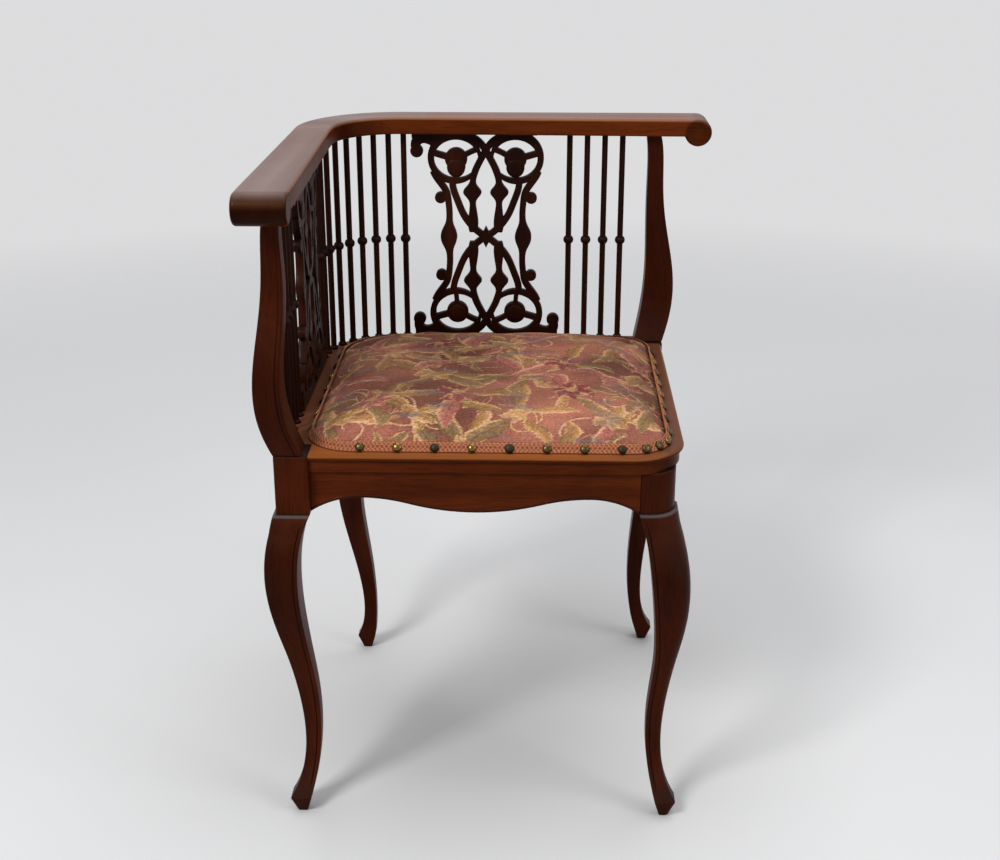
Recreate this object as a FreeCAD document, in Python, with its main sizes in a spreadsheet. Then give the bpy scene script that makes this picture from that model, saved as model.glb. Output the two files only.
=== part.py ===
# Corner chair: a square seat on four cabriole legs, with a low back round two of its sides.
# The seat stands square to X and Y. The front corner is the one towards +X and -Y, and the chair
# is alike on both sides of the upright plane through that corner and the rounded one behind it.
import FreeCAD, Part
import math
import os
import Sketcher

Vector = FreeCAD.Vector
ACROSS = Vector(1, 0, 0)
UP = Vector(0, 0, 1)

# Driving dimensions in millimetres. A reach is a distance from the centre of the seat in plan,
# a drop is measured down from the piece named, and a rise up from it.
SIZES = {
    # seat frame
    "seat_height": 440,
    "frame_thick": 19,
    "frame_reach": 215,
    "frame_width": 54,
    "nosing_thick": 6,
    "fascia_step": 1.2,
    "rebate_width": 14,
    "front_corner_radius": 58,
    # rounded back corner, shared by the seat frame, the rail, the aprons and the spindles
    "corner_centre": 112,
    "corner_stub": 30,
    # arm rail
    "rail_top": 725,
    "rail_thick": 21,
    "rail_outer": 232,
    "rail_width": 45,
    "rail_top_round": 4,
    "rail_under_round": 2.5,
    "arm_reach": 267.5,
    "arm_flare_out": 3,
    "arm_flare_in": 6,
    "scroll_diameter": 33,
    # dowels in the rail, in the seat frame and at the back leg
    "dowel_diameter": 8,
    "dowel_length": 40,
    "dowel_spacing": 22,
    "leg_dowel_length": 24,
    "leg_dowel_spacing": 20,
    # spindles
    "spindle_line": 208,
    "spindle_diameter": 7.2,
    "bead_diameter": 12.8,
    "bead_length": 10,
    "bead_rise": 129,
    "spindle_foot_diameter": 11,
    "spindle_foot_height": 4.5,
    "spindle_pin_diameter": 4.6,
    "spindle_pin_length": 8,
    "arm_spindle_first": 95,
    "arm_spindle_pitch": 21.8,
    # splats
    "splat_offset": 9.5,
    "splat_half_width": 72.5,
    "splat_thick": 9,
    "strap_width": 8.4,
    "splat_tongue": 6,
    # arm posts, as reach and width across the arm and along it
    "post_foot_rise": 22,
    "post_swell_rise": 65,
    "post_base_width_across": 29,
    "post_base_width_along": 36,
    "post_foot_across": 224.5,
    "post_foot_width_across": 29,
    "post_foot_along": 224,
    "post_foot_width_along": 38,
    "post_swell_across": 231.5,
    "post_swell_width_across": 28.3,
    "post_swell_along": 230,
    "post_swell_width_along": 37.5,
    "post_waist_across": 227.5,
    "post_waist_width_across": 26.2,
    "post_waist_along": 223.5,
    "post_waist_width_along": 30,
    "post_neck_across": 220,
    "post_neck_width_across": 22.5,
    "post_neck_along": 213.5,
    "post_neck_width_along": 21.5,
    "post_top_across": 212.5,
    "post_top_width_across": 17,
    "post_top_along": 207,
    "post_top_width_along": 18,
    "post_tenon_width": 11,
    "post_tenon_length": 13,
    # leg blocks
    "block_reach": 217,
    "block_size": 36,
    "block_drop": 66,
    "round_block_reach": 206,
    "round_block_size": 39,
    "round_block_radius": 36,
    # cabriole legs, from the block down, as reach of the outer face and width
    "arris": 2,
    "knee_top_drop": 25,
    "knee_top_reach": 226,
    "knee_top_width": 35.5,
    "knee_drop": 70,
    "knee_reach": 231,
    "knee_width": 35,
    "round_knee_top_reach": 214.5,
    "round_knee_top_width": 40,
    "round_knee_top_radius": 32,
    "round_knee_reach": 224,
    "round_knee_width": 42,
    "round_knee_radius": 24,
    "shin_rise": 100,
    "shin_reach": 214,
    "shin_width": 25,
    "round_shin_radius": 13,
    "ankle_rise": 60,
    "ankle_reach": 201,
    "ankle_width": 18,
    "round_ankle_radius": 7,
    "instep_rise": 20,
    "instep_reach": 208.8,
    "instep_width": 18.4,
    "toe_height": 20,
    "toe_reach": 219,
    "toe_width": 23.5,
    "sole_reach": 212,
    "sole_width": 11,
    "round_foot_radius": 5,
    # the back left leg stands inside the rounded corner
    "back_block_reach": 184,
    "back_knee_top_reach": 196,
    "back_knee_reach": 207,
    "back_shin_reach": 204,
    "back_shin_width": 28,
    "back_ankle_reach": 178.5,
    "back_instep_reach": 178.5,
    "back_toe_reach": 186,
    "back_sole_reach": 179,
    "back_leg_radius": 8,
    "key_outer_radius": 95,
    "key_inner_radius": 48,
    # aprons
    "apron_reach": 206,
    "apron_thick": 20,
    "apron_depth": 47,
    "apron_lift": 16,
    "apron_peak_inset": 52,
    "tenon_thick": 8,
    "tenon_length": 10,
    "tenon_height": 20,
    "tenon_drop": 6,
    # corner blocks and their screws
    "corner_block_run": 61,
    "corner_block_height": 24,
    "brace_thick": 21,
    "screw_inset": 30,
    "screw_margin": 12,
    "screw_diameter": 4.5,
    "screw_head_diameter": 9,
    "screw_head_height": 2.5,
    "screw_bite": 10,
    # seat: webbing, hessian, pad, gimp and nails
    "webbing_width": 46,
    "webbing_thick": 1.2,
    "webbing_pitch": 70,
    "webbing_clear": 1,
    "hessian_thick": 0.6,
    "hessian_clear": 0.3,
    "pad_front_reach": 201,
    "pad_back_reach": 188,
    "pad_front_radius": 46,
    "pad_side_radius": 52,
    "pad_edge_height": 10,
    "pad_edge_inset": 6,
    "pad_crown": 27,
    "pad_crown_run": 104,
    "gimp_thick": 1.6,
    "nail_head_diameter": 9.6,
    "nail_head_height": 3,
    "nail_pin_diameter": 1.6,
    "nail_pin_length": 12,
    "nail_end_inset": 8,
}

# Counts and shares of a curve.
ARM_SPINDLES = 4
CORNER_SPINDLES = 9
WAIST_SHARE = 0.28
NECK_SHARE = 0.58
LEG_STATIONS = 8
LIFT_SHARE = 0.42
KEY_HALF_ANGLE = 15
SCREW_HEAD_SHARE = 0.6
CROWN_SHARES = (0.0, 0.18, 0.38, 0.66, 1.0)
CROWN_POWER = 2.6
CROWN_CORNER_SHARE = 0.7
STRAPS = 4
FRONT_NAILS = 8
BACK_NAILS = 7
CORNER_NAIL_ANGLES = (-67, -45, 107, 135)

# The splat's strap-work for one quarter, drawn from its middle on a grid of millimetres that is
# DRAWN_HALF_WIDTH wide and DRAWN_HALF_HEIGHT high. Each station of a strap is its place across
# and up, and its width in straps.
DRAWN_HALF_WIDTH = 72.5
DRAWN_HALF_HEIGHT = 132
INNER_STRAP = ((16.4, 6, 1), (16.4, 38, 1), (16.6, 47, 1.2), (17, 57, 2.75), (16.6, 67, 1.2), (15, 78, 1),
               (10.5, 90, 1), (5.5, 99.5, 1), (0, 109.5, 1), (-8, 120, 1), (-20, 127, 1), (-32, 129, 1))
OUTER_STRAP = ((66, 84, 1), (57, 69, 1), (49.5, 57, 1), (47, 44, 0.95), (46, 28, 0.95), (46.5, 17, 1.2),
               (47, 8, 2.1), (47, 0, 2.5))
CROSS_STRAP = ((42, 72, 1), (40.5, 60, 1), (35.5, 46, 1), (29, 30, 1), (19.5, 16, 1), (0, 0, 1))
LEAF_STEM = ((37, 92, 0.8), (38, 82, 0.7), (39, 71, 0.8))
LEAF_TWIG = ((32, 100, 0.9), (22, 106, 0.8), (8, 112, 0.9))
LEAF_BRANCH = ((36, 98.5, 1), (50, 102, 0.95), (67, 107, 0.95))
EAR = ((60, 117, 1.5), (71, 123.5, 1.5), (82, 123.5, 1.6), (87, 111, 1.6))
RING_CENTRE = (39, 100.5)
RING_RADII = (33.5, 33)
EYE_CENTRE = (37, 99)
EYE_RADII = (27.5, 23.8)
LEAF_RADIUS = 14
KNOB_CENTRE = (57, 50)
KNOB_RADIUS = 7.2
EAR_KNOB_CENTRE = (86, 108.5)
EAR_KNOB_RADIUS = 8
BOSS = ((0, 14), (-7, 0), (0, -14), (7, 0))
BAR_LOW = 128.5
BAR_START = 16
BAR_END = 64
EAR_BAR_LOW = 124.5
EAR_BAR_END = 92
TONGUE_END = 56

doc = FreeCAD.newDocument("CornerChair")
sheet = doc.addObject("Spreadsheet::Sheet", "Sheet")
for row, (alias, number) in enumerate(SIZES.items(), start=1):
    sheet.set(f"A{row}", alias)
    sheet.set(f"B{row}", str(number))
    sheet.setAlias(f"B{row}", alias)
doc.recompute()

pieces = {}


class Size:
    """A length in millimetres that carries the sheet formula it comes from."""

    def __init__(self, value, formula=None):
        self.value = float(value)
        self.formula = formula or f"({self.value!r})"

    def __add__(self, other):
        other = as_size(other)
        return Size(self.value + other.value, f"({self.formula} + {other.formula})")

    def __sub__(self, other):
        other = as_size(other)
        return Size(self.value - other.value, f"({self.formula} - {other.formula})")

    def __mul__(self, other):
        other = as_size(other)
        return Size(self.value * other.value, f"({self.formula} * {other.formula})")

    def __truediv__(self, other):
        other = as_size(other)
        return Size(self.value / other.value, f"({self.formula} / {other.formula})")

    def __neg__(self):
        return self * -1

    def __radd__(self, other):
        return as_size(other) + self

    def __rsub__(self, other):
        return as_size(other) - self

    def __rmul__(self, other):
        return as_size(other) * self


def as_size(thing):
    """Give a plain number the form of a size."""
    if isinstance(thing, Size):
        return thing
    return Size(thing)


def size(alias):
    """Read a driving dimension from the sheet."""
    return Size(sheet.get(alias), f"Sheet.{alias}")


def sizes(*aliases):
    """Read several driving dimensions at once."""
    return [size(alias) for alias in aliases]


# Levels and lines that several pieces share.
SEAT_TOP = size("seat_height")
FRAME_LOW = SEAT_TOP - size("frame_thick")
RAIL_TOP = size("rail_top")
RAIL_LOW = RAIL_TOP - size("rail_thick")
RAIL_OUTER = size("rail_outer")
RAIL_INNER = RAIL_OUTER - size("rail_width")
FRAME_OUTER = size("frame_reach")
FRAME_INNER = FRAME_OUTER - size("frame_width")
REBATE_REACH = FRAME_INNER + size("rebate_width")
REBATE_FLOOR = SEAT_TOP - size("webbing_thick") * 2 - size("hessian_thick")
CENTRE = size("corner_centre")
JOINT_LINE = CENTRE - size("corner_stub")
BLOCK_OUTER = size("block_reach")
BLOCK_INNER = BLOCK_OUTER - size("block_size")
BLOCK_LOW = SEAT_TOP - size("block_drop")
ROUND_BLOCK_INNER = size("round_block_reach") - size("round_block_size")
APRON_OUTER = size("apron_reach")
APRON_INNER = APRON_OUTER - size("apron_thick")
APRON_LOW = FRAME_LOW - size("apron_depth")
ARM_OUTER = RAIL_OUTER + size("arm_flare_out")
ARM_INNER = RAIL_INNER - size("arm_flare_in")
# The middle of the whole chair in plan is the origin, and the arms reach further than the back.
SHIFT = (size("arm_reach") - ARM_OUTER) / 2


def bind(thing, prop, length):
    """Bind a property to a size's formula."""
    thing.setExpression(prop, as_size(length).formula)


def place(thing, x=0, y=0, z=0):
    """Place an object at a point measured from the floor under the centre of the seat."""
    bind(thing, "Placement.Base.x", x - SHIFT)
    bind(thing, "Placement.Base.y", y + SHIFT)
    bind(thing, "Placement.Base.z", z)


def keep(label, thing):
    """Label a finished piece and list it for export."""
    thing.Label = label
    pieces[label] = thing
    return thing


def new_body(name, x=0, y=0, z=0):
    """Start a body whose own origin is at the given point."""
    body = doc.addObject("PartDesign::Body", name)
    place(body, x, y, z)
    return body


def sketch_on(body, role, offset=0, across=0, up=0):
    """Start a sketch on an origin plane of the body, moved along its normal and in the plane."""
    sketch = body.newObject("Sketcher::SketchObject", f"{body.Name}_sketch")
    plane = next(item for item in body.Origin.OriginFeatures if item.Role == role)
    sketch.AttachmentSupport = [(plane, "")]
    sketch.MapMode = "FlatFace"
    bind(sketch, "AttachmentOffset.Base.x", across)
    bind(sketch, "AttachmentOffset.Base.y", up)
    bind(sketch, "AttachmentOffset.Base.z", offset)
    return sketch


def arc_between(start, finish, radius, turn):
    """Give the shorter arc from start to finish, turning left where turn is 1 and right where -1."""
    chord = finish - start
    height = math.sqrt(max(radius ** 2 - (chord.Length / 2) ** 2, 0))
    left = Vector(-chord.y, chord.x, 0).normalize()
    centre = start + chord * 0.5 + left * (height * turn)
    first, last = (start, finish) if turn > 0 else (finish, start)
    angles = [math.atan2(end.y - centre.y, end.x - centre.x) for end in (first, last)]
    circle = Part.Circle(centre, Vector(0, 0, 1), radius)
    return Part.ArcOfCircle(circle, angles[0], angles[1])


def draw_outline(sketch, corners, arcs=None):
    """Draw a closed outline through the corners, and bind every corner to its sizes.

    arcs maps an edge, numbered from its first corner, to its radius and its turn.
    """
    arcs = arcs or {}
    corners = [(as_size(x), as_size(y)) for x, y in corners]
    points = [Vector(x.value, y.value, 0) for x, y in corners]
    count = len(points)
    ends = []
    for edge, start in enumerate(points):
        finish = points[(edge + 1) % count]
        if edge in arcs:
            radius, turn = arcs[edge]
            sketch.addGeometry(arc_between(start, finish, as_size(radius).value, turn))
            ends.append((1, 2) if turn > 0 else (2, 1))
        else:
            sketch.addGeometry(Part.LineSegment(start, finish))
            ends.append((1, 2))
    rules = []
    formulas = {}
    for edge in range(count):
        following = (edge + 1) % count
        rules.append(Sketcher.Constraint("Coincident", edge, ends[edge][1], following, ends[following][0]))
    for edge, (x, y) in enumerate(corners):
        for kind, length in (("DistanceX", x), ("DistanceY", y)):
            formulas[len(rules)] = length.formula
            rules.append(Sketcher.Constraint(kind, edge, ends[edge][0], length.value))
    for edge, (radius, _) in arcs.items():
        formulas[len(rules)] = as_size(radius).formula
        rules.append(Sketcher.Constraint("Radius", edge, as_size(radius).value))
    sketch.addConstraint(rules)
    for number, formula in formulas.items():
        sketch.setExpression(f"Constraints[{number}]", formula)
    return sketch


def rectangle(left, low, right, high):
    """List the corners of a rectangle."""
    return [(left, low), (right, low), (right, high), (left, high)]


def pad(body, sketch, length, reverse=False):
    """Pad a sketch along its normal, or against it."""
    feature = body.newObject("PartDesign::Pad", f"{body.Name}_pad")
    feature.Profile = sketch
    feature.Reversed = reverse
    bind(feature, "Length", length)


def revolve(body, sketch, axis, angle=360, reverse=False):
    """Turn a sketch about its own horizontal or vertical axis."""
    feature = body.newObject("PartDesign::Revolution", f"{body.Name}_revolution")
    feature.Profile = sketch
    feature.ReferenceAxis = (sketch, [axis])
    feature.Angle = angle
    feature.Reversed = reverse


def loft(body, sketches, ruled=False, kind="PartDesign::AdditiveLoft"):
    """Loft through a row of sketches."""
    feature = body.newObject(kind, f"{body.Name}_loft")
    feature.Profile = sketches[0]
    feature.Sections = sketches[1:]
    feature.Ruled = ruled


def group(name, members):
    """Hold several solids as one object."""
    compound = doc.addObject("Part::Compound", name)
    compound.Links = members
    return compound


def socketed(name, blank, entering):
    """Cut the sockets for the pieces that enter a blank."""
    cut = doc.addObject("Part::Cut", name)
    cut.Base = blank
    cut.Tool = group(f"{name}_sockets", entering)
    return cut


def mirrored(name, source):
    """Mirror a piece to the other side of the chair."""
    mirror = doc.addObject("Part::Mirroring", name)
    mirror.Source = source
    mirror.Normal = Vector(1, 1, 0)
    return mirror


def dowel(name, length, x, y, z, direction):
    """Make a dowel that starts at a point and runs along a direction."""
    cylinder = doc.addObject("Part::Cylinder", name)
    cylinder.Placement = FreeCAD.Placement(Vector(), FreeCAD.Rotation(Vector(0, 0, 1), direction))
    place(cylinder, x, y, z)
    bind(cylinder, "Radius", size("dowel_diameter") / 2)
    bind(cylinder, "Height", length)
    return cylinder


def turned(name, profile, x, y, z, arcs=None):
    """Turn a half profile of radius and height about an upright axis."""
    body = new_body(name, x, y, z)
    revolve(body, draw_outline(sketch_on(body, "XZ_Plane"), profile, arcs), "V_Axis")
    return body


def spindle(label, x, y):
    """Make a spindle with a foot, a bead, and a pin at each end."""
    shaft, foot, pin = (length / 2 for length in sizes(
        "spindle_diameter", "spindle_foot_diameter", "spindle_pin_diameter"))
    pin_length, foot_height, bead = sizes("spindle_pin_length", "spindle_foot_height", "bead_rise")
    top = RAIL_LOW - SEAT_TOP
    half_bead = size("bead_length") / 2
    swell = size("bead_diameter") / 2 - shaft
    bead_arc = (half_bead * half_bead + swell * swell) / (swell * 2)
    profile = [(0, -pin_length), (pin, -pin_length), (pin, 0), (foot, 0), (foot, foot_height / 2),
               (shaft, foot_height), (shaft, bead - half_bead), (shaft, bead + half_bead), (shaft, top),
               (pin, top), (pin, top + pin_length), (0, top + pin_length)]
    return keep(label, turned(label, profile, x, y, SEAT_TOP, {6: (bead_arc, 1)}))


def rail_profile(sketch, sign, origin, inner=RAIL_INNER, outer=RAIL_OUTER):
    """Draw the rail's section, with its distance from the seat's centre less the origin."""
    top_round, low_round = sizes("rail_top_round", "rail_under_round")
    near, far = inner - origin, outer - origin
    corners = [(near + low_round, RAIL_LOW), (far - low_round, RAIL_LOW), (far, RAIL_LOW + low_round),
               (far, RAIL_TOP - top_round), (far - top_round, RAIL_TOP), (near + top_round, RAIL_TOP),
               (near, RAIL_TOP - top_round), (near, RAIL_LOW + low_round)]
    arcs = {1: (low_round, sign), 3: (top_round, sign), 5: (top_round, sign), 7: (low_round, sign)}
    return draw_outline(sketch, [(x * sign, z) for x, z in corners], arcs)


def frame_profile(sketch, sign, origin):
    """Draw the seat frame's moulded section, with its rebate, like the rail's."""
    nose = size("nosing_thick") / 2
    near, far, rebate = FRAME_INNER - origin, FRAME_OUTER - origin, REBATE_REACH - origin
    fascia = far - nose - size("fascia_step")
    corners = [(near, FRAME_LOW), (fascia, FRAME_LOW), (fascia, SEAT_TOP - nose * 2),
               (far - nose, SEAT_TOP - nose * 2), (far, SEAT_TOP - nose), (far - nose, SEAT_TOP),
               (rebate, SEAT_TOP), (rebate, REBATE_FLOOR), (near, REBATE_FLOOR)]
    arcs = {3: (nose, sign), 4: (nose, sign)}
    return draw_outline(sketch, [(x * sign, z) for x, z in corners], arcs)


def left_run(name, profile, length):
    """Pad a section along the left side of the chair from the joint line forwards."""
    body = new_body(name, 0, JOINT_LINE)
    pad(body, profile(sketch_on(body, "XZ_Plane"), -1, 0), length)
    return body


def back_corner(name, profile):
    """Sweep a section round the back corner, with a straight stub at each end."""
    body = new_body(name, -CENTRE, CENTRE)
    revolve(body, profile(sketch_on(body, "XZ_Plane"), -1, CENTRE), "V_Axis", 90, True)
    pad(body, profile(sketch_on(body, "XZ_Plane"), -1, CENTRE), size("corner_stub"))
    pad(body, profile(sketch_on(body, "YZ_Plane"), 1, CENTRE), size("corner_stub"))
    return body


def arm_blank():
    """Make the left arm of the rail, which widens towards its scrolled end."""
    scroll = size("scroll_diameter") / 2
    body = new_body("arm_blank", 0, JOINT_LINE)
    run = JOINT_LINE + size("arm_reach") - scroll
    joint = rail_profile(sketch_on(body, "XZ_Plane"), -1, 0)
    wide, end = (rail_profile(sketch_on(body, "XZ_Plane", run - scroll * 2), -1, 0, ARM_INNER, ARM_OUTER)
                 for _ in range(2))
    loft(body, [joint, wide], True)
    pad(body, end, scroll * 2)
    edge = size("rail_top_round")
    sketch = sketch_on(body, "XZ_Plane", run, 0, RAIL_TOP - scroll)
    corners = [(-ARM_OUTER, 0), (-ARM_INNER, 0), (-ARM_INNER, scroll - edge),
               (-ARM_INNER - edge, scroll), (-ARM_OUTER + edge, scroll), (-ARM_OUTER, scroll - edge)]
    revolve(body, draw_outline(sketch, corners, {2: (edge, 1), 4: (edge, 1)}), "H_Axis")
    return body


def joint_dowels(label, across, z):
    """Make the pairs of dowels at both ends of the back corner."""
    half_gap = size("dowel_spacing") / 2
    length = size("dowel_length")
    left = [dowel(f"{label}_{number}", length, -(across + half_gap * side), JOINT_LINE - length / 2,
                  z, Vector(0, 1, 0)) for number, side in enumerate((-1, 1))]
    right = [mirrored(f"{label}_mirror_{number}", item) for number, item in enumerate(left)]
    return keep(label, group(label, left + right))


def arm_post():
    """Make the left arm post, which swells outwards both ways, with a tenon at each end."""
    body = new_body("arm_post_left")
    swell = SEAT_TOP + size("post_swell_rise")
    rest = RAIL_LOW - swell
    heights = {"foot": SEAT_TOP + size("post_foot_rise"), "swell": swell,
               "waist": swell + rest * WAIST_SHARE, "neck": swell + rest * NECK_SHARE, "top": RAIL_LOW}
    base = (SEAT_TOP, BLOCK_OUTER, size("post_base_width_across"),
            BLOCK_OUTER, size("post_base_width_along"))
    stations = [base]
    for name, height in heights.items():
        stations.append((height, *sizes(f"post_{name}_across", f"post_{name}_width_across",
                                        f"post_{name}_along", f"post_{name}_width_along")))
    sketches = []
    for height, across, wide, along, deep in stations:
        sketch = sketch_on(body, "XY_Plane", height)
        sketches.append(draw_outline(sketch, rectangle(-across, -along, wide - across, deep - along)))
    loft(body, sketches)
    for station, down in ((stations[0], True), (stations[-1], False)):
        height, across, wide, along, deep = station
        half, x, y = size("post_tenon_width") / 2, wide / 2 - across, deep / 2 - along
        sketch = draw_outline(sketch_on(body, "XY_Plane", height),
                              rectangle(x - half, y - half, x + half, y + half))
        pad(body, sketch, size("post_tenon_length"), down)
    return keep("arm_post_left", body)


def leg_section(body, side, height, reach, width, radius):
    """Sketch one section of a leg, square but for its outer corner."""
    inner = reach - width
    corners = [(reach - radius, reach), (inner, reach), (inner, inner), (reach, inner),
               (reach, reach - radius)]
    across, along = side
    sketch = sketch_on(body, "XY_Plane", height)
    return draw_outline(sketch, [(x * across, y * along) for x, y in corners], {4: (radius, across * along)})


def leg_heights():
    """List the heights of a leg's stations below its block."""
    toe = size("toe_height")
    instep = toe + size("instep_rise")
    ankle = instep + size("ankle_rise")
    return {"knee_top": BLOCK_LOW - size("knee_top_drop"), "knee": BLOCK_LOW - size("knee_drop"),
            "shin": ankle + size("shin_rise"), "ankle": ankle, "instep": instep, "toe": toe, "sole": Size(0)}


def own_size(style, alias):
    """Read a leg's own dimension, or the one that all the legs share."""
    return size(style + alias if style + alias in SIZES else alias)


def leg_stations(style, reach, width, radii):
    """List the stations of a leg from its block to its sole: height, reach, width and corner radius."""
    stations = [(BLOCK_LOW, reach, width, radii[0])]
    for (name, height), radius in zip(leg_heights().items(), radii[1:]):
        stations.append((height, own_size(style, f"{name}_reach"), own_size(style, f"{name}_width"), radius))
    return stations


def leg_blank(name, side, stations):
    """Loft a leg from its block down to the toe, and then in to its sole."""
    body = new_body(name)
    loft(body, [leg_section(body, side, *station) for station in stations[:-1]])
    loft(body, [leg_section(body, side, *station) for station in stations[-2:]], True)
    return body


def add_square_block(body, side, station, height):
    """Pad a leg's block upwards from its highest station."""
    pad(body, leg_section(body, side, *station), height)


def add_key_block(body, height):
    """Pad the back leg's block, whose sides run towards the centre of the rounded corner."""
    corners = []
    for radius, turn in (("key_outer_radius", -1), ("key_outer_radius", 1),
                         ("key_inner_radius", 1), ("key_inner_radius", -1)):
        angle = math.radians(135 + turn * KEY_HALF_ANGLE)
        corners.append((size(radius) * math.cos(angle) - CENTRE, size(radius) * math.sin(angle) + CENTRE))
    sketch = sketch_on(body, "XY_Plane", BLOCK_LOW)
    pad(body, draw_outline(sketch, corners, {0: (size("key_outer_radius"), 1)}), height)


def apron_outline(sketch, first, last):
    """Draw an apron's face, whose lower edge dips in the middle and at both ends."""
    lift, inset = sizes("apron_lift", "apron_peak_inset")
    half = (last - first) / 2
    middle = first + half
    run = half - inset
    bend = (run * run + lift * lift) / (lift * 2)
    near_bend, far_bend = bend * LIFT_SHARE, bend * (1 - LIFT_SHARE)
    end_bend = (inset * inset + lift * lift) / (lift * 2)
    peak = APRON_LOW + lift
    turn_x, turn_z = run * (1 - LIFT_SHARE), APRON_LOW + lift * (1 - LIFT_SHARE)
    corners = [(first, APRON_LOW), (middle - run, peak), (middle - turn_x, turn_z),
               (middle + turn_x, turn_z), (middle + run, peak), (last, APRON_LOW),
               (last, FRAME_LOW), (first, FRAME_LOW)]
    arcs = {0: (end_bend, -1), 1: (near_bend, -1), 2: (far_bend, 1), 3: (near_bend, -1), 4: (end_bend, -1)}
    return draw_outline(sketch, corners, arcs)


def tenon_outline(sketch, first, last):
    """Draw the tenon that runs on past an apron's ends."""
    high = FRAME_LOW - size("tenon_drop")
    return draw_outline(sketch, rectangle(first, high - size("tenon_height"), last, high))


def front_apron():
    """Make the front apron, tenoned into both front leg blocks."""
    body = new_body("apron_front")
    first, last = -BLOCK_INNER, ROUND_BLOCK_INNER
    pad(body, apron_outline(sketch_on(body, "XZ_Plane", APRON_INNER), first, last), size("apron_thick"))
    thick, length = sizes("tenon_thick", "tenon_length")
    middle = APRON_INNER + size("apron_thick") / 2
    sketch = sketch_on(body, "XZ_Plane", middle - thick / 2)
    pad(body, tenon_outline(sketch, first - length, last + length), thick)
    return keep("apron_front", body)


def left_apron():
    """Make the left apron, which bends round to the back left leg block."""
    body = new_body("apron_left_blank")
    first = -BLOCK_INNER
    pad(body, apron_outline(sketch_on(body, "YZ_Plane", -APRON_OUTER), first, CENTRE), size("apron_thick"))
    thick, length = sizes("tenon_thick", "tenon_length")
    middle = APRON_INNER + size("apron_thick") / 2
    sketch = sketch_on(body, "YZ_Plane", -middle - thick / 2)
    pad(body, tenon_outline(sketch, first - length, first + length), thick)
    sketch = sketch_on(body, "XZ_Plane", -CENTRE, -CENTRE)
    section = rectangle(CENTRE - APRON_OUTER, APRON_LOW, CENTRE - APRON_INNER, FRAME_LOW)
    revolve(body, draw_outline(sketch, section), "V_Axis", 45 - KEY_HALF_ANGLE, True)
    return body


def back_leg_dowels():
    """Make the dowels that join the bent aprons to the back left leg block."""
    label = "back_leg_dowels"
    angle = math.radians(135 + KEY_HALF_ANGLE)
    along = Vector(-math.sin(angle), math.cos(angle), 0)
    radius = (APRON_OUTER + APRON_INNER) / 2 - CENTRE
    length = size("leg_dowel_length")
    half_gap = size("leg_dowel_spacing") / 2
    middle = (FRAME_LOW + APRON_LOW) / 2
    left = []
    for side in (-1, 1):
        x = radius * math.cos(angle) - CENTRE - length / 2 * along.x
        y = radius * math.sin(angle) + CENTRE - length / 2 * along.y
        left.append(dowel(f"{label}_{len(left)}", length, x, y, middle + half_gap * side, along))
    right = [mirrored(f"{label}_mirror_{number}", item) for number, item in enumerate(left)]
    return keep(label, group(label, left + right))


def corner_block(name, corners):
    """Make the blank of a corner block under the seat frame."""
    body = new_body(name)
    sketch = draw_outline(sketch_on(body, "XY_Plane", FRAME_LOW), corners)
    pad(body, sketch, size("corner_block_height"), True)
    return body


def angle_block(name, side, leg_inner):
    """Make a corner block that fits round the inner corner of a leg block."""
    end = leg_inner - size("corner_block_run")
    corners = [(APRON_INNER, end), (APRON_INNER, leg_inner), (leg_inner, leg_inner),
               (leg_inner, APRON_INNER), (end, APRON_INNER)]
    return corner_block(name, [(x * side[0], y * side[1]) for x, y in corners])


def brace_line():
    """Give where the brace behind the back left leg block meets the left apron."""
    flat = size("key_inner_radius") * math.cos(math.radians(KEY_HALF_ANGLE)) * math.sqrt(0.5)
    return (CENTRE + flat) * 2 - APRON_INNER


def brace_block():
    """Make the corner block that runs across the rounded corner."""
    outer = brace_line()
    inner = outer - size("brace_thick") * math.sqrt(2)
    corners = [(-APRON_INNER, inner), (-inner, APRON_INNER), (-outer, APRON_INNER), (-APRON_INNER, outer)]
    return corner_block("corner_block_back_left_blank", corners)


def screw(name, x, y):
    """Make a screw that runs up through a corner block into the seat frame."""
    shank, head = (length / 2 for length in sizes("screw_diameter", "screw_head_diameter"))
    head_height, bite, block = sizes("screw_head_height", "screw_bite", "corner_block_height")
    profile = [(0, -head_height), (head * SCREW_HEAD_SHARE, -head_height), (head, 0), (shank, 0),
               (shank, block + bite), (0, block + bite)]
    return turned(name, profile, x, y, FRAME_LOW - block)


def block_screws():
    """Make two screws in each corner block."""
    inset, margin = sizes("screw_inset", "screw_margin")
    near = APRON_INNER - margin
    across_brace = brace_line() - size("brace_thick") * math.sqrt(0.5)
    spots = [(-(BLOCK_INNER - inset), -near), (-near, -(BLOCK_INNER - inset)),
             (ROUND_BLOCK_INNER - inset / 2, -near), (-near, across_brace - margin)]
    made = [screw(f"screw_{number}", x, y) for number, (x, y) in enumerate(spots)]
    made += [mirrored(f"screw_mirror_{number}", item) for number, item in enumerate(made)]
    return keep("corner_block_screws", group("corner_block_screws", made))


def webbing(label, along, low):
    """Make a row of straps that run across the seat, or along it."""
    wide, thick, pitch = sizes("webbing_width", "webbing_thick", "webbing_pitch")
    half = REBATE_REACH - size("webbing_clear")
    straps = []
    for number in range(STRAPS):
        start = pitch * (number - (STRAPS - 1) / 2) - wide / 2
        strap = doc.addObject("Part::Box", f"{label}_{number}")
        place(strap, start if along else -half, -half if along else start, low)
        bind(strap, "Length", wide if along else half * 2)
        bind(strap, "Width", half * 2 if along else wide)
        bind(strap, "Height", thick)
        straps.append(strap)
    return keep(label, group(label, straps))


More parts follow.
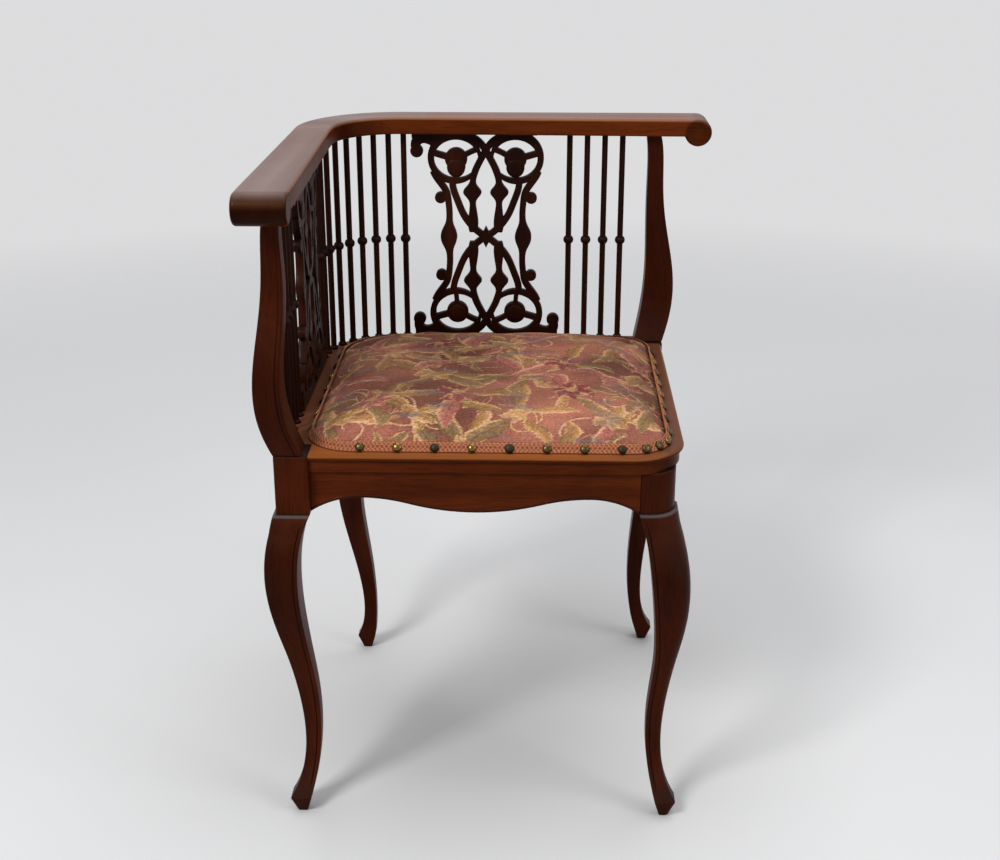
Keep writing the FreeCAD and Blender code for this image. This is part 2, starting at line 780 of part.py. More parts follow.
def hessian():
    """Make the sheet of hessian that lies in the rebate over the webbing."""
    body = new_body("seat_hessian")
    edge = REBATE_REACH - size("hessian_clear")
    front_centre = FRAME_OUTER - size("front_corner_radius")
    front, back = edge - front_centre, edge - CENTRE
    corners = [(-edge, -edge), (edge - front, -edge), (edge, front - edge), (edge, edge),
               (back - edge, edge), (-edge, edge - back)]
    sketch = sketch_on(body, "XY_Plane", SEAT_TOP - size("hessian_thick"))
    pad(body, draw_outline(sketch, corners, {1: (front, 1), 4: (back, 1)}), size("hessian_thick"))
    return keep("seat_hessian", body)


def pad_outline(body, height, inset, round_share=1.0):
    """Sketch the outline of the seat pad at a height, drawn in by an inset."""
    front, back = size("pad_front_reach") - inset, size("pad_back_reach") - inset
    edge = size("pad_edge_inset")
    trim = inset if inset.value < edge.value else edge
    front_round, side_round, back_round = ((radius - trim) * round_share for radius in (
        size("pad_front_radius"), size("pad_side_radius"), size("pad_back_reach") - CENTRE))
    corners = [(side_round - back, -front), (front - front_round, -front), (front, front_round - front),
               (front, back - side_round), (front - side_round, back), (back_round - back, back),
               (-back, back - back_round), (-back, side_round - front)]
    arcs = {1: (front_round, 1), 3: (side_round, 1), 5: (back_round, 1), 7: (side_round, 1)}
    return draw_outline(sketch_on(body, "XY_Plane", height), corners, arcs)


def seat_pad():
    """Make the seat pad: a steep edge all round and a crown above it."""
    body = new_body("seat_pad_blank")
    edge_inset, edge_height, crown, run = sizes("pad_edge_inset", "pad_edge_height", "pad_crown",
                                                "pad_crown_run")
    edge_top = SEAT_TOP + edge_height
    loft(body, [pad_outline(body, SEAT_TOP, Size(0)), pad_outline(body, edge_top, edge_inset)], True)
    rings = []
    for share in CROWN_SHARES:
        climb = 1 - (1 - share) ** CROWN_POWER
        rings.append(pad_outline(body, edge_top + (crown - edge_height) * climb, edge_inset + run * share,
                                 1 - CROWN_CORNER_SHARE * share))
    loft(body, rings)
    return body


def gimp():
    """Make the braid that runs round the steep edge of the pad."""
    body = new_body("seat_gimp_blank")
    edge_inset, thick = sizes("pad_edge_inset", "gimp_thick")
    edge_top = SEAT_TOP + size("pad_edge_height")
    loft(body, [pad_outline(body, SEAT_TOP, -thick), pad_outline(body, edge_top, edge_inset - thick)], True)
    loft(body, [pad_outline(body, SEAT_TOP, Size(0)), pad_outline(body, edge_top, edge_inset)], True,
         "PartDesign::SubtractiveLoft")
    return body


def nail_shape():
    """Make one domed nail that points down, with the underside of its head at the origin."""
    head, dome, pin, length = (size(alias).value for alias in (
        "nail_head_diameter", "nail_head_height", "nail_pin_diameter", "nail_pin_length"))
    ball = (head ** 2 / 4 + dome ** 2) / (dome * 2)
    lean = math.asin(head / 2 / ball) / 2
    middle = Vector(ball * math.sin(lean), 0, dome - ball + ball * math.cos(lean))
    bow = Part.Arc(Vector(head / 2, 0, 0), middle, Vector(0, 0, dome)).toShape()
    points = [Vector(0, 0, dome), Vector(0, 0, -length), Vector(pin / 2, 0, -length), Vector(pin / 2, 0, 0),
              Vector(head / 2, 0, 0)]
    profile = Part.Wire([bow] + Part.makePolygon(points).Edges)
    return Part.Face(profile).revolve(Vector(0, 0, 0), Vector(0, 0, 1), 360)


def nail_spots():
    """List where the nails stand on the front, left and corner edges, with the way they face."""
    front, back, side, round_front = (size(alias).value for alias in (
        "pad_front_reach", "pad_back_reach", "pad_side_radius", "pad_front_radius"))
    out = (size("gimp_thick") - size("pad_edge_inset") / 2).value
    inset = size("nail_end_inset").value
    spots = []
    for number in range(FRONT_NAILS):
        start, finish = side - back + inset, front - round_front - inset
        x = start + (finish - start) * number / (FRONT_NAILS - 1)
        spots.append((x, -front - out, 0, -1))
    for number in range(BACK_NAILS):
        start, finish = side - front + inset, CENTRE.value - inset
        y = start + (finish - start) * number / (BACK_NAILS - 1)
        spots.append((-back - out, y, -1, 0))
    for degrees in CORNER_NAIL_ANGLES:
        across, along = math.cos(math.radians(degrees)), math.sin(math.radians(degrees))
        radius = (round_front if degrees < 0 else back - CENTRE.value) + out
        middle = front - round_front if degrees < 0 else -CENTRE.value
        spots.append((middle + radius * across, -middle + radius * along, across, along))
    return spots


def nails():
    """Make the domed nails, square to the gimp, on both sides of the chair."""
    shape = nail_shape()
    rise, run = size("pad_edge_height").value, size("pad_edge_inset").value
    height = SEAT_TOP.value + rise / 2
    made = []
    for x, y, across, along in nail_spots():
        both = [(x, y, across, along), (-y, -x, -along, -across)]
        on_plane = abs(x + y) < size("nail_head_diameter").value / 2
        for left, depth, face_x, face_y in both[:1] if on_plane else both:
            turn = FreeCAD.Rotation(Vector(0, 0, 1), Vector(face_x * rise, face_y * rise, run))
            nail = shape.copy()
            nail.Placement = FreeCAD.Placement(Vector(left, depth, height), turn)
            made.append(nail)
    feature = doc.addObject("Part::Feature", "seat_nails")
    feature.Shape = Part.makeCompound(made)
    place(feature)
    return keep("seat_nails", feature)


def ribbon(stations):
    """Make the face of one strap of the splat from its stations."""
    wide = size("strap_width").value / 2
    across, up = splat_scale()
    points = [Vector(x * across, 0, z * up) for x, z, _ in stations]
    sides = ([], [])
    for number, (point, station) in enumerate(zip(points, stations)):
        run = points[min(number + 1, len(points) - 1)] - points[max(number - 1, 0)]
        square = Vector(-run.z, 0, run.x).normalize() * (wide * station[2])
        sides[0].append(point + square)
        sides[1].append(point - square)
    curves = []
    for side in sides:
        curve = Part.BSplineCurve()
        curve.interpolate(side)
        curves.append(curve.toShape())
    ends = [Part.makeLine(sides[0][end], sides[1][end]) for end in (0, -1)]
    return Part.Face(Part.Wire([curves[0], ends[1], curves[1], ends[0]]))


def splat_scale():
    """Give how far the drawn strap-work is stretched across and up."""
    half_height = (RAIL_LOW - SEAT_TOP).value / 2
    return size("splat_half_width").value / DRAWN_HALF_WIDTH, half_height / DRAWN_HALF_HEIGHT


def splat_disc(centre, radius_x, radius_z):
    """Make a round or oval face of the splat."""
    across, up = splat_scale()
    long_x = radius_x * across >= radius_z * up
    major, minor = sorted((radius_x * across, radius_z * up), reverse=True)
    middle = Vector(centre[0] * across, 0, centre[1] * up)
    first = Vector(1, 0, 0) if long_x else Vector(0, 0, 1)
    second = Vector(0, 0, 1) if long_x else Vector(1, 0, 0)
    oval = Part.Ellipse(middle + first * major, middle + second * minor, middle)
    return Part.Face(Part.Wire(oval.toShape()))


def splat_plate(corners):
    """Make a straight-sided face of the splat."""
    across, up = splat_scale()
    points = [Vector(x * across, 0, z * up) for x, z in corners]
    return Part.Face(Part.makePolygon(points + points[:1]))


def splat_quarter():
    """Fuse the straps of one quarter of a splat, without its ear."""
    tongue = DRAWN_HALF_HEIGHT + size("splat_tongue").value / splat_scale()[1]
    faces = [ribbon(strap) for strap in (INNER_STRAP, OUTER_STRAP, CROSS_STRAP, LEAF_STEM, LEAF_TWIG,
                                         LEAF_BRANCH)]
    ring = splat_disc(RING_CENTRE, *RING_RADII).cut(splat_disc(EYE_CENTRE, *EYE_RADII))
    faces.append(ring.Faces[0])
    faces.append(splat_disc(EYE_CENTRE, LEAF_RADIUS, LEAF_RADIUS))
    faces.append(splat_disc(KNOB_CENTRE, KNOB_RADIUS, KNOB_RADIUS))
    faces.append(splat_plate(rectangle(BAR_START, BAR_LOW, BAR_END, DRAWN_HALF_HEIGHT)))
    faces.append(splat_plate(rectangle(BAR_START, BAR_LOW, TONGUE_END, tongue)))
    return fuse_in_turn([thickened(face) for face in faces])


def thickened(face):
    """Give a face of the splat its thickness."""
    return face.extrude(Vector(0, size("splat_thick").value, 0))


def fuse_in_turn(solids):
    """Fuse solids one after the other."""
    fused = solids[0]
    for solid in solids[1:]:
        fused = fused.fuse(solid)
    return fused


def splat_body():
    """Fuse the four quarters of a splat with the boss in its middle and the bar at its foot."""
    quarter = splat_quarter()
    half = quarter.fuse(quarter.mirror(Vector(), UP))
    foot = rectangle(-BAR_END, -DRAWN_HALF_HEIGHT, BAR_END, -BAR_LOW)
    plates = [thickened(splat_plate(corners)) for corners in (BOSS, foot)]
    return fuse_in_turn([half, half.mirror(Vector(), ACROSS), *plates])


def splat_ears(broken_ear):
    """List the ears at the corners of a splat, the upper right one left out where it is broken."""
    knob = splat_disc(EAR_KNOB_CENTRE, EAR_KNOB_RADIUS, EAR_KNOB_RADIUS)
    bar = splat_plate(rectangle(TONGUE_END, EAR_BAR_LOW, EAR_BAR_END, DRAWN_HALF_HEIGHT))
    ear = fuse_in_turn([thickened(face) for face in (ribbon(EAR), knob, bar)])
    low = ear.mirror(Vector(), UP)
    ears = [low, low.mirror(Vector(), ACROSS), ear.mirror(Vector(), ACROSS)]
    return ears if broken_ear else ears + [ear]


def splat(name, body, broken_ear):
    """Make a splat in the back of the chair from its body and ears."""
    feature = doc.addObject("Part::Feature", name)
    feature.Shape = fuse_in_turn([body, *splat_ears(broken_ear)]).removeSplitter().Solids[0]
    thick = size("splat_thick")
    place(feature, -size("splat_offset"), size("spindle_line") - thick / 2, (SEAT_TOP + RAIL_LOW) / 2)
    return feature


def make_spindles():
    """Make the spindles of the left arm, the back arm and the corner."""
    line, first, pitch = sizes("spindle_line", "arm_spindle_first", "arm_spindle_pitch")
    left = [spindle(f"spindle_left_{number + 1}", -line, -first - pitch * number)
            for number in range(ARM_SPINDLES)]
    for number, source in enumerate(left, start=1):
        label = f"spindle_back_{number}"
        keep(label, mirrored(label, source))
    corner = []
    for number in range(CORNER_SPINDLES):
        angle = math.pi / 2 * number / (CORNER_SPINDLES - 1)
        x = -CENTRE - (line - CENTRE) * math.cos(angle)
        y = CENTRE + (line - CENTRE) * math.sin(angle)
        corner.append(spindle(f"spindle_corner_{number + 1}", x, y))
    return left, corner


def make_back():
    """Make the rail, the posts, the splats and the spindles; list what enters the seat frame."""
    left_spindles, corner_spindles = make_spindles()
    post = arm_post()
    keep("arm_post_right", mirrored("arm_post_right", post))
    strapwork = splat_body()
    keep("splat_back", splat("splat_back", strapwork, True))
    splat_left = keep("splat_left", mirrored("splat_left", splat("splat_whole", strapwork, False)))
    rail_middle = (RAIL_OUTER + RAIL_INNER) / 2
    dowels = joint_dowels("rail_dowels", rail_middle, (RAIL_TOP + RAIL_LOW) / 2)
    left = socketed("arm_rail_left", arm_blank(), [*left_spindles, post, splat_left, dowels])
    keep("arm_rail_left", left)
    keep("arm_rail_back", mirrored("arm_rail_back", left))
    corner_blank = back_corner("rail_corner_blank", rail_profile)
    keep("arm_rail_corner", socketed("arm_rail_corner", corner_blank, [*corner_spindles, dowels]))
    return post, [*left_spindles, splat_left], corner_spindles


def front_frame_blank():
    """Make the front of the seat frame up to the middle of the rounded front corner."""
    body = new_body("seat_frame_front_blank")
    centre = FRAME_OUTER - size("front_corner_radius")
    straight = frame_profile(sketch_on(body, "YZ_Plane", -BLOCK_INNER), -1, 0)
    pad(body, straight, BLOCK_INNER + centre)
    revolve(body, frame_profile(sketch_on(body, "YZ_Plane", centre, -centre), -1, centre), "V_Axis", 45)
    return body


def make_seat(left_entering, corner_entering):
    """Make the seat frame and everything that lies on it."""
    screws = block_screws()
    tacks = nails()
    middle = (APRON_OUTER + APRON_INNER) / 2
    dowels = joint_dowels("seat_frame_dowels", middle, (SEAT_TOP + FRAME_LOW) / 2)
    left_blank = left_run("seat_frame_left_blank", frame_profile, JOINT_LINE + BLOCK_INNER)
    left = socketed("seat_frame_left", left_blank, [*left_entering, screws, dowels, tacks])
    keep("seat_frame_left", left)
    keep("seat_frame_back", mirrored("seat_frame_back", left))
    corner_blank = back_corner("seat_frame_corner_blank", frame_profile)
    keep("seat_frame_corner",
         socketed("seat_frame_corner", corner_blank, [*corner_entering, screws, dowels, tacks]))
    front = socketed("seat_frame_front", front_frame_blank(), [left_blank, screws, tacks])
    keep("seat_frame_front", front)
    keep("seat_frame_right", mirrored("seat_frame_right", front))
    webbing("seat_webbing_across", False, REBATE_FLOOR)
    webbing("seat_webbing_along", True, REBATE_FLOOR + size("webbing_thick"))
    hessian()
    keep("seat_pad", socketed("seat_pad", seat_pad(), [tacks]))
    keep("seat_gimp", socketed("seat_gimp", gimp(), [tacks]))
    return screws


def make_base(post, screws):
    """Make the legs, the aprons and the corner blocks."""
    dowels = back_leg_dowels()
    front = front_apron()
    keep("apron_right", mirrored("apron_right", front))
    left = keep("apron_left", socketed("apron_left", left_apron(), [dowels]))
    keep("apron_back", mirrored("apron_back", left))
    square = leg_stations("", BLOCK_OUTER, size("block_size"), [size("arris")] * LEG_STATIONS)
    blank = leg_blank("leg_front_left_blank", (-1, -1), square)
    add_square_block(blank, (-1, -1), square[0], SEAT_TOP - BLOCK_LOW)
    leg = keep("leg_front_left", socketed("leg_front_left", blank, [front, left, post]))
    keep("leg_back_right", mirrored("leg_back_right", leg))
    radii = sizes("round_block_radius", "round_knee_top_radius", "round_knee_radius", "round_shin_radius",
                  "round_ankle_radius")
    radii += [size("round_foot_radius")] * (LEG_STATIONS - len(radii))
    rounded = leg_stations("round_", *sizes("round_block_reach", "round_block_size"), radii)
    blank = leg_blank("leg_front_right_blank", (1, -1), rounded)
    add_square_block(blank, (1, -1), rounded[0], FRAME_LOW - BLOCK_LOW)
    keep("leg_front_right", socketed("leg_front_right", blank, [front, pieces["apron_right"]]))
    back = leg_stations("back_", *sizes("back_block_reach", "block_size"),
                        [size("back_leg_radius")] * LEG_STATIONS)
    blank = leg_blank("leg_back_left_blank", (-1, 1), back)
    add_key_block(blank, FRAME_LOW - BLOCK_LOW)
    keep("leg_back_left", socketed("leg_back_left", blank, [dowels]))
    front_left = angle_block("block_fl", (-1, -1), BLOCK_INNER)
    front_left = keep("corner_block_front_left", socketed("corner_block_front_left", front_left, [screws]))
    keep("corner_block_back_right", mirrored("corner_block_back_right", front_left))
    front_right = angle_block("block_fr", (1, -1), ROUND_BLOCK_INNER)
    keep("corner_block_front_right", socketed("corner_block_front_right", front_right, [screws]))
    keep("corner_block_back_left", socketed("corner_block_back_left", brace_block(), [screws]))


def check_document():
    """Stop if any object failed or any piece has no sound shape."""
    for item in doc.Objects:
        if "Invalid" in item.State or "Error" in item.State:
            raise RuntimeError(f"{item.Label} failed: {item.State}")
    for label, item in pieces.items():
        if item.Shape.isNull() or not item.Shape.isValid() or not item.Shape.Solids:
            raise RuntimeError(f"{label} has no sound shape")


post, left_entering, corner_entering = make_back()
screws = make_seat(left_entering, corner_entering)
make_base(post, screws)
doc.recompute()
check_document()
os.makedirs("parts", exist_ok=True)
for label, item in pieces.items():
    item.Shape.exportStep(f"parts/{label}.step")
    print(label, len(item.Shape.Solids), round(item.Shape.Volume))
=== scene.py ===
"""The looks of a corner chair: pierced splats, turned spindles, cabriole legs and a tapestry seat.

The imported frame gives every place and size; each class here builds or dresses one sub-assembly.
"""

import logging
import math
from dataclasses import dataclass
from enum import Enum
from itertools import product

import bmesh
import bpy
import numpy as np
from mathutils import Euler, Matrix, Vector
from mathutils.bvhtree import BVHTree


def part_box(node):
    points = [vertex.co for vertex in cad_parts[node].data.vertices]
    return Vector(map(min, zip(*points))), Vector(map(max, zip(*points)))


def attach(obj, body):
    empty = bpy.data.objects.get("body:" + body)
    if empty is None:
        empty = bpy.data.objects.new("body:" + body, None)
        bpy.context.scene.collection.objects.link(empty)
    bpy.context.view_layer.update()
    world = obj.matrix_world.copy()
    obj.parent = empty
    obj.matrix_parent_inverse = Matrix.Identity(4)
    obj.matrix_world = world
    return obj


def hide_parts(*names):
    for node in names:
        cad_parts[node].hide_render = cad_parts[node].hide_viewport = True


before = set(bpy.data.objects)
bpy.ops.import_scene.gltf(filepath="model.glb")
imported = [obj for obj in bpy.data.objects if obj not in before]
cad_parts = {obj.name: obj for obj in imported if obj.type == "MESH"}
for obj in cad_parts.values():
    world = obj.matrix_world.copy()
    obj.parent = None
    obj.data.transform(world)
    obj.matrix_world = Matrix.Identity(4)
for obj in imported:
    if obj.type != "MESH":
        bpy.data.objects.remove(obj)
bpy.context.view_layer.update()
LOG = logging.getLogger("corner_chair")
MM = 0.001
TURN = 2.0 * math.pi
Pair = tuple[float, float]
Triple = tuple[float, float, float]
Colour = Triple
Socket = bpy.types.NodeSocket


class Slot(Enum):
    """Material slots of the record, listed here but given to no piece."""

    MAHOGANY = "mahogany"
    COVER = "seat_cover"
    GIMP = "gimp_braid"
    HESSIAN = "hessian"
    WEBBING = "webbing"
    BRASS = "nail_brass"


class Grain(Enum):
    """Directions of wood grain, as the squeeze of the pattern along each axis."""

    X = (0.06, 1.0, 1.0)
    Y = (1.0, 0.06, 1.0)
    Z = (1.0, 1.0, 0.06)


class Corner(Enum):
    """Corners of the chair, as the outward signs of x and y."""

    FRONT_LEFT = (-1, -1)
    FRONT_RIGHT = (1, -1)
    BACK_RIGHT = (1, 1)
    BACK_LEFT = (-1, 1)


def srgb(red: float, green: float, blue: float) -> Colour:
    """Turn a colour as seen on screen into scene values.

    Args:
        red: Red from 0 to 255.
        green: Green from 0 to 255.
        blue: Blue from 0 to 255.

    Returns:
        The linear colour from 0 to 1.
    """
    return tuple(float(v) for v in linear(np.array([red, green, blue]) / 255.0))


def linear(values: np.ndarray) -> np.ndarray:
    """Turn screen values from 0 to 1 into linear ones."""
    return np.where(values <= 0.04045, values / 12.92, ((values + 0.055) / 1.055) ** 2.4)


def grey(value: float) -> Colour:
    """Return a grey as a colour."""
    return (value, value, value)


def opaque(colour: object) -> object:
    """Give a plain colour its alpha, and leave a socket as it is."""
    return (*colour, 1.0) if isinstance(colour, tuple) else colour


def smoothstep(values: np.ndarray | float, start: float, end: float) -> np.ndarray:
    """Ease from 0 at start to 1 at end."""
    share = np.clip((np.asarray(values) - start) / (end - start), 0.0, 1.0)
    return share * share * (3.0 - 2.0 * share)


def heading(angle: float) -> np.ndarray:
    """Return the flat direction of an angle in radians."""
    return np.array([math.cos(angle), math.sin(angle)])


class NodeSheet:
    """A hand for wiring the nodes of a material or a world."""

    def __init__(self, owner: bpy.types.ID) -> None:
        """Open the owner's nodes."""
        owner.use_nodes = True
        self.tree = owner.node_tree
        self.nodes = self.tree.nodes

    def put(self, socket: Socket, value: object) -> None:
        """Link a socket to another one, or give it a constant value."""
        if isinstance(value, Socket):
            self.tree.links.new(value, socket)
        else:
            socket.default_value = value

    def add(self, kind: str, inputs: dict | None = None, **settings: object) -> bpy.types.Node:
        """Add a node.

        Args:
            kind: The node's type after "ShaderNode".
            inputs: Values or sockets for its inputs, by name or number.
            settings: Properties of the node.

        Returns:
            The node.
        """
        node = self.nodes.new("ShaderNode" + kind)
        for key, value in settings.items():
            setattr(node, key, value)
        for key, value in (inputs or {}).items():
            self.put(node.inputs[key], value)
        return node

    def feed(self, **inputs: object) -> None:
        """Set inputs of the principled shader, with _ in place of a space."""
        shader = self.nodes["Principled BSDF"]
        for key, value in inputs.items():
            self.put(shader.inputs[key.replace("_", " ")], value)

    def ramp(self, factor: Socket, stops: list[tuple[float, Colour]]) -> Socket:
        """Colour a factor by stops.

        Args:
            factor: The socket with a value from 0 to 1.
            stops: Places and colours, from low to high.

        Returns:
            The colour socket.
        """
        node = self.add("ValToRGB", {"Fac": factor})
        ramp = node.color_ramp
        while len(ramp.elements) < len(stops):
            ramp.elements.new(0.5)
        for element, (place, colour) in zip(ramp.elements, stops):
            element.position = place
            element.color = (*colour, 1.0)
        return node.outputs["Color"]

    def greys(self, factor: Socket, *stops: Pair) -> Socket:
        """Turn a factor into greys, by stops of places and values from low to high."""
        return self.ramp(factor, [(place, grey(value)) for place, value in stops])

    def shade(self, colour: object, factor: Socket, share: float, *stops: Pair) -> Socket:
        """Multiply a colour by greys.

        Args:
            colour: A colour or its socket.
            factor: The socket that picks the greys.
            share: How much they count.
            stops: Places and grey values, from low to high.

        Returns:
            The colour socket.
        """
        return self.mix(colour, self.greys(factor, *stops), share, "MULTIPLY")

    def mix(self, first: object, second: object, factor: object, blend: str = "MIX") -> Socket:
        """Blend two colours.

        Args:
            first: A colour or its socket.
            second: A colour or its socket.
            factor: The share of the second one.
            blend: The blend's name.

        Returns:
            The colour socket.
        """
        inputs = {0: factor, 6: opaque(first), 7: opaque(second)}
        return self.add("Mix", inputs, data_type="RGBA", blend_type=blend).outputs[2]

    def noise(self, vector: Socket, scale: float, detail: float) -> Socket:
        """Add noise of a scale and return its factor."""
        node = self.add("TexNoise", {"Vector": vector, "Scale": scale, "Detail": detail})
        return node.outputs["Fac"]

    def waves(self, vector: Socket, scale: float, distortion: float) -> list[Socket]:
        """Add bands of threads and return the weft's factor and the warp's."""
        inputs = {"Vector": vector, "Scale": scale, "Distortion": distortion, "Detail": 1.0}
        return [self.add("TexWave", inputs, bands_direction=axis).outputs["Fac"] for axis in ("Y", "X")]

    def distance(self, vector: Socket) -> Socket:
        """Return the length of a vector."""
        return self.add("VectorMath", {0: vector}, operation="LENGTH").outputs["Value"]

    def place(self, scale: Triple = (1.0, 1.0, 1.0)) -> Socket:
        """Return the object's coordinates, scaled by axis."""
        coords = self.add("TexCoord")
        mapping = self.add("Mapping", {"Vector": coords.outputs["Object"], "Scale": scale})
        return mapping.outputs["Vector"]

    def attribute(self, name: str, output: str = "Fac") -> Socket:
        """Return a mesh attribute's socket."""
        return self.add("Attribute", attribute_name=name).outputs[output]

    def bump(self, height: Socket, strength: float, distance: float) -> None:
        """Give the shader a bump of a height in metres."""
        node = self.add("Bump", {"Height": height, "Strength": strength, "Distance": distance})
        self.feed(Normal=node.outputs["Normal"])


class Finish:
    """A look that wires itself as a material."""

    name: str

    def build(self) -> bpy.types.Material:
        """Make the material."""
        material = bpy.data.materials.new(self.name)
        self.wire(NodeSheet(material))
        return material

    def wire(self, sheet: NodeSheet) -> None:
        """Wire the material's shader."""
        raise NotImplementedError


@dataclass(frozen=True)
class WoodFinish(Finish):
    """A polished wood: its colours, grain and sheen."""

    name: str
    dark: Colour
    mid: Colour
    light: Colour
    grain: Grain
    dust_and_sheen: Colour = (0.10, 0.062, 0.056)
    edge_wear_and_highlight: Colour = (0.13, 0.055, 0.035)
    dust_and_sheen_share: float = 0.55
    figure: float = 26.0
    roughness: Pair = (0.26, 0.42)
    coat: float = 0.03
    coat_roughness: float = 0.1
    specular: float = 0.025
    cloud_scale: float = 9.0
    pore_scale: float = 620.0
    pore_depth: float = 0.4 * MM
    ledge_highlight: Colour = (0.34, 0.31, 0.32)
    groove_shade: Colour = (0.006, 0.003, 0.002)
    end_tone: float = 0.3
    crevice_shade_reach: float = 5.0 * MM
    scroll: Triple | None = None
    scroll_width: float = 33.0 * MM
    side_dust_and_sheen: Colour | None = None
    side_run: Pair = (90.0 * MM, 215.0 * MM)

    def wire(self, sheet: NodeSheet) -> None:
        """Lay pores, clouds, painted sheen with dust on upward faces, painted shade in crevices and in the
        scratched line, and a painted highlight on the knee ledge over the grain.
        """
        along = sheet.place(self.grain.value)
        figure = sheet.noise(along, self.figure, 7.0)
        pores = sheet.noise(along, self.pore_scale, 2.0)
        cloud = sheet.noise(sheet.place(), self.cloud_scale, 3.0)
        colour = sheet.ramp(figure, [(0.2, self.dark), (0.5, self.mid), (0.8, self.light)])
        colour = sheet.shade(colour, pores, 0.7, (0.3, 0.55), (0.55, 1.0))
        colour = sheet.shade(colour, cloud, 0.8, (0.3, 0.62), (0.7, 1.15))
        normal = sheet.add("SeparateXYZ", {"Vector": sheet.add("NewGeometry").outputs["Normal"]})
        upward = normal.outputs["Z"]
        # Painted sheen: upward faces turn paler, standing for reflected light as well as dust and dulled
        # polish.
        upward_dust_sheen = sheet.greys(upward, (0.12, 0.0), (0.5, self.dust_and_sheen_share))
        patchy_dust_sheen = sheet.shade(upward_dust_sheen, figure, 1.0, (0.25, 0.5), (0.7, 1.0))
        # Painted highlight: faces that look partly up, such as rounded edges, take the edge colour, which
        # also stands for wear.
        flat = sheet.greys(upward, (0.35, 0.0), (0.96, 1.0))
        dust_sheen_colour = sheet.mix(self.edge_wear_and_highlight, self.top_dust_and_sheen(sheet), flat)
        colour = sheet.mix(colour, dust_sheen_colour, patchy_dust_sheen)
        facing = sheet.add("Math", {0: normal.outputs[self.grain.name]}, operation="ABSOLUTE").outputs[0]
        colour = sheet.shade(colour, facing, 1.0, (0.25, 1.0), (0.8, self.end_tone))
        if self.scroll:
            colour = sheet.mix(colour, self.scroll_shade(sheet), 1.0, "MULTIPLY")
        # Painted shade: ambient occlusion darkens the wood in crevices, at joints and under nearby parts.
        crevice_shade = sheet.add("AmbientOcclusion", {"Distance": self.crevice_shade_reach}, samples=4).outputs["AO"]
        colour = sheet.shade(colour, crevice_shade, 1.0, (0.3, 0.3), (0.75, 1.0))
        # Painted highlight: the ledge under each leg's block is made paler, as where it catches the light.
        colour = sheet.mix(colour, self.ledge_highlight, sheet.attribute("ledge"))
        # Painted shade: the scratched line, marked by the quirk attribute, is darkened nearly to black.
        colour = sheet.mix(colour, self.groove_shade, sheet.attribute("quirk"))
        low, high = self.roughness
        sheet.feed(Base_Color=colour, Roughness=sheet.greys(cloud, (0.3, low), (0.75, high)))
        sheet.feed(Coat_Weight=self.coat, Coat_Roughness=self.coat_roughness)
        sheet.feed(Specular_IOR_Level=self.specular)
        sheet.bump(pores, 0.12, self.pore_depth)

    def top_dust_and_sheen(self, sheet: NodeSheet) -> object:
        """Choose the colour of the painted sheen with dust on upward faces, which may change towards the
        right.
        """
        if self.side_dust_and_sheen is None:
            return self.dust_and_sheen
        start, end = self.side_run
        place = sheet.add("SeparateXYZ", {"Vector": sheet.place()}).outputs["X"]
        share = sheet.add("MapRange", {0: place, 1: start, 2: end}).outputs[0]
        return sheet.mix(self.dust_and_sheen, self.side_dust_and_sheen, share)

    def scroll_shade(self, sheet: NodeSheet) -> Socket:
        """Darken the round end of an arm: painted shade, which also stands for end-grain wear."""
        across = [0.0 if axis == self.end_axis() else 1.0 / self.scroll_width for axis in range(3)]
        back = [-share * place for share, place in zip(across, self.scroll)]
        coords = sheet.add("TexCoord").outputs["Object"]
        local = sheet.add("Mapping", {"Vector": coords, "Scale": across, "Location": back}).outputs["Vector"]
        return sheet.greys(sheet.distance(local), (0.0, 0.6), (0.3, 0.42), (0.46, 0.5), (0.53, 1.0))

    def end_axis(self) -> int:
        """Return the axis that the scroll's roll lies along."""
        return 1 if self.grain is Grain.X else 0


@dataclass(frozen=True)
class TapestryFinish(Finish):
    """A woven cover coloured by the motif attribute."""

    name: str = "tapestry"
    rib_scale: float = 210.0
    speck_scale: float = 400.0
    wear_scale: float = 14.0
    worn: Colour = srgb(196, 140, 112)
    relief: float = 0.5 * MM

    def wire(self, sheet: NodeSheet) -> None:
        """Show the motif through ribs, specks and wear."""
        place = sheet.place()
        ribs, warp = sheet.waves(place, self.rib_scale, 1.5)
        speck = sheet.noise(place, self.speck_scale, 3.0)
        wear = sheet.noise(place, self.wear_scale, 4.0)
        weave = sheet.mix(ribs, warp, 0.45, "DARKEN")
        colour = sheet.shade(sheet.attribute("motif", "Color"), weave, 0.75, (0.1, 0.55), (0.7, 1.08))
        colour = sheet.shade(colour, speck, 0.75, (0.3, 0.55), (0.7, 1.4))
        colour = sheet.mix(colour, self.worn, sheet.greys(wear, (0.5, 0.0), (0.8, 0.3)))
        sheet.feed(Base_Color=colour, Roughness=0.9, Specular_IOR_Level=0.1)
        sheet.bump(sheet.mix(weave, speck, 0.4), 0.5, self.relief)


@dataclass(frozen=True)
class ThreadFinish(Finish):
    """A cloth of threads: braid, webbing or hessian."""

    name: str
    dark: Colour
    light: Colour
    pitch_scale: float
    attribute: str = ""
    speck_scale: float = 700.0
    relief: float = 0.5 * MM

    def wire(self, sheet: NodeSheet) -> None:
        """Cross two sets of threads and add specks."""
        place = sheet.place()
        weft, warp = sheet.waves(place, self.pitch_scale, 2.0)
        weave = sheet.mix(weft, warp, 0.5)
        speck = sheet.noise(place, self.speck_scale, 3.0)
        colour = sheet.ramp(weave, [(0.2, self.dark), (0.75, self.light)])
        # Painted shade: the attribute darkens the braid's low parts between its raised cords and threads.
        if self.attribute:
            raised = sheet.mix(colour, self.light, 0.6)
            colour = sheet.mix(self.dark, raised, sheet.attribute(self.attribute))
        colour = sheet.shade(colour, speck, 0.7, (0.3, 0.6), (0.7, 1.25))
        sheet.feed(Base_Color=colour, Roughness=0.9, Specular_IOR_Level=0.15)
        sheet.bump(sheet.mix(weave, speck, 0.5), 0.5, self.relief)


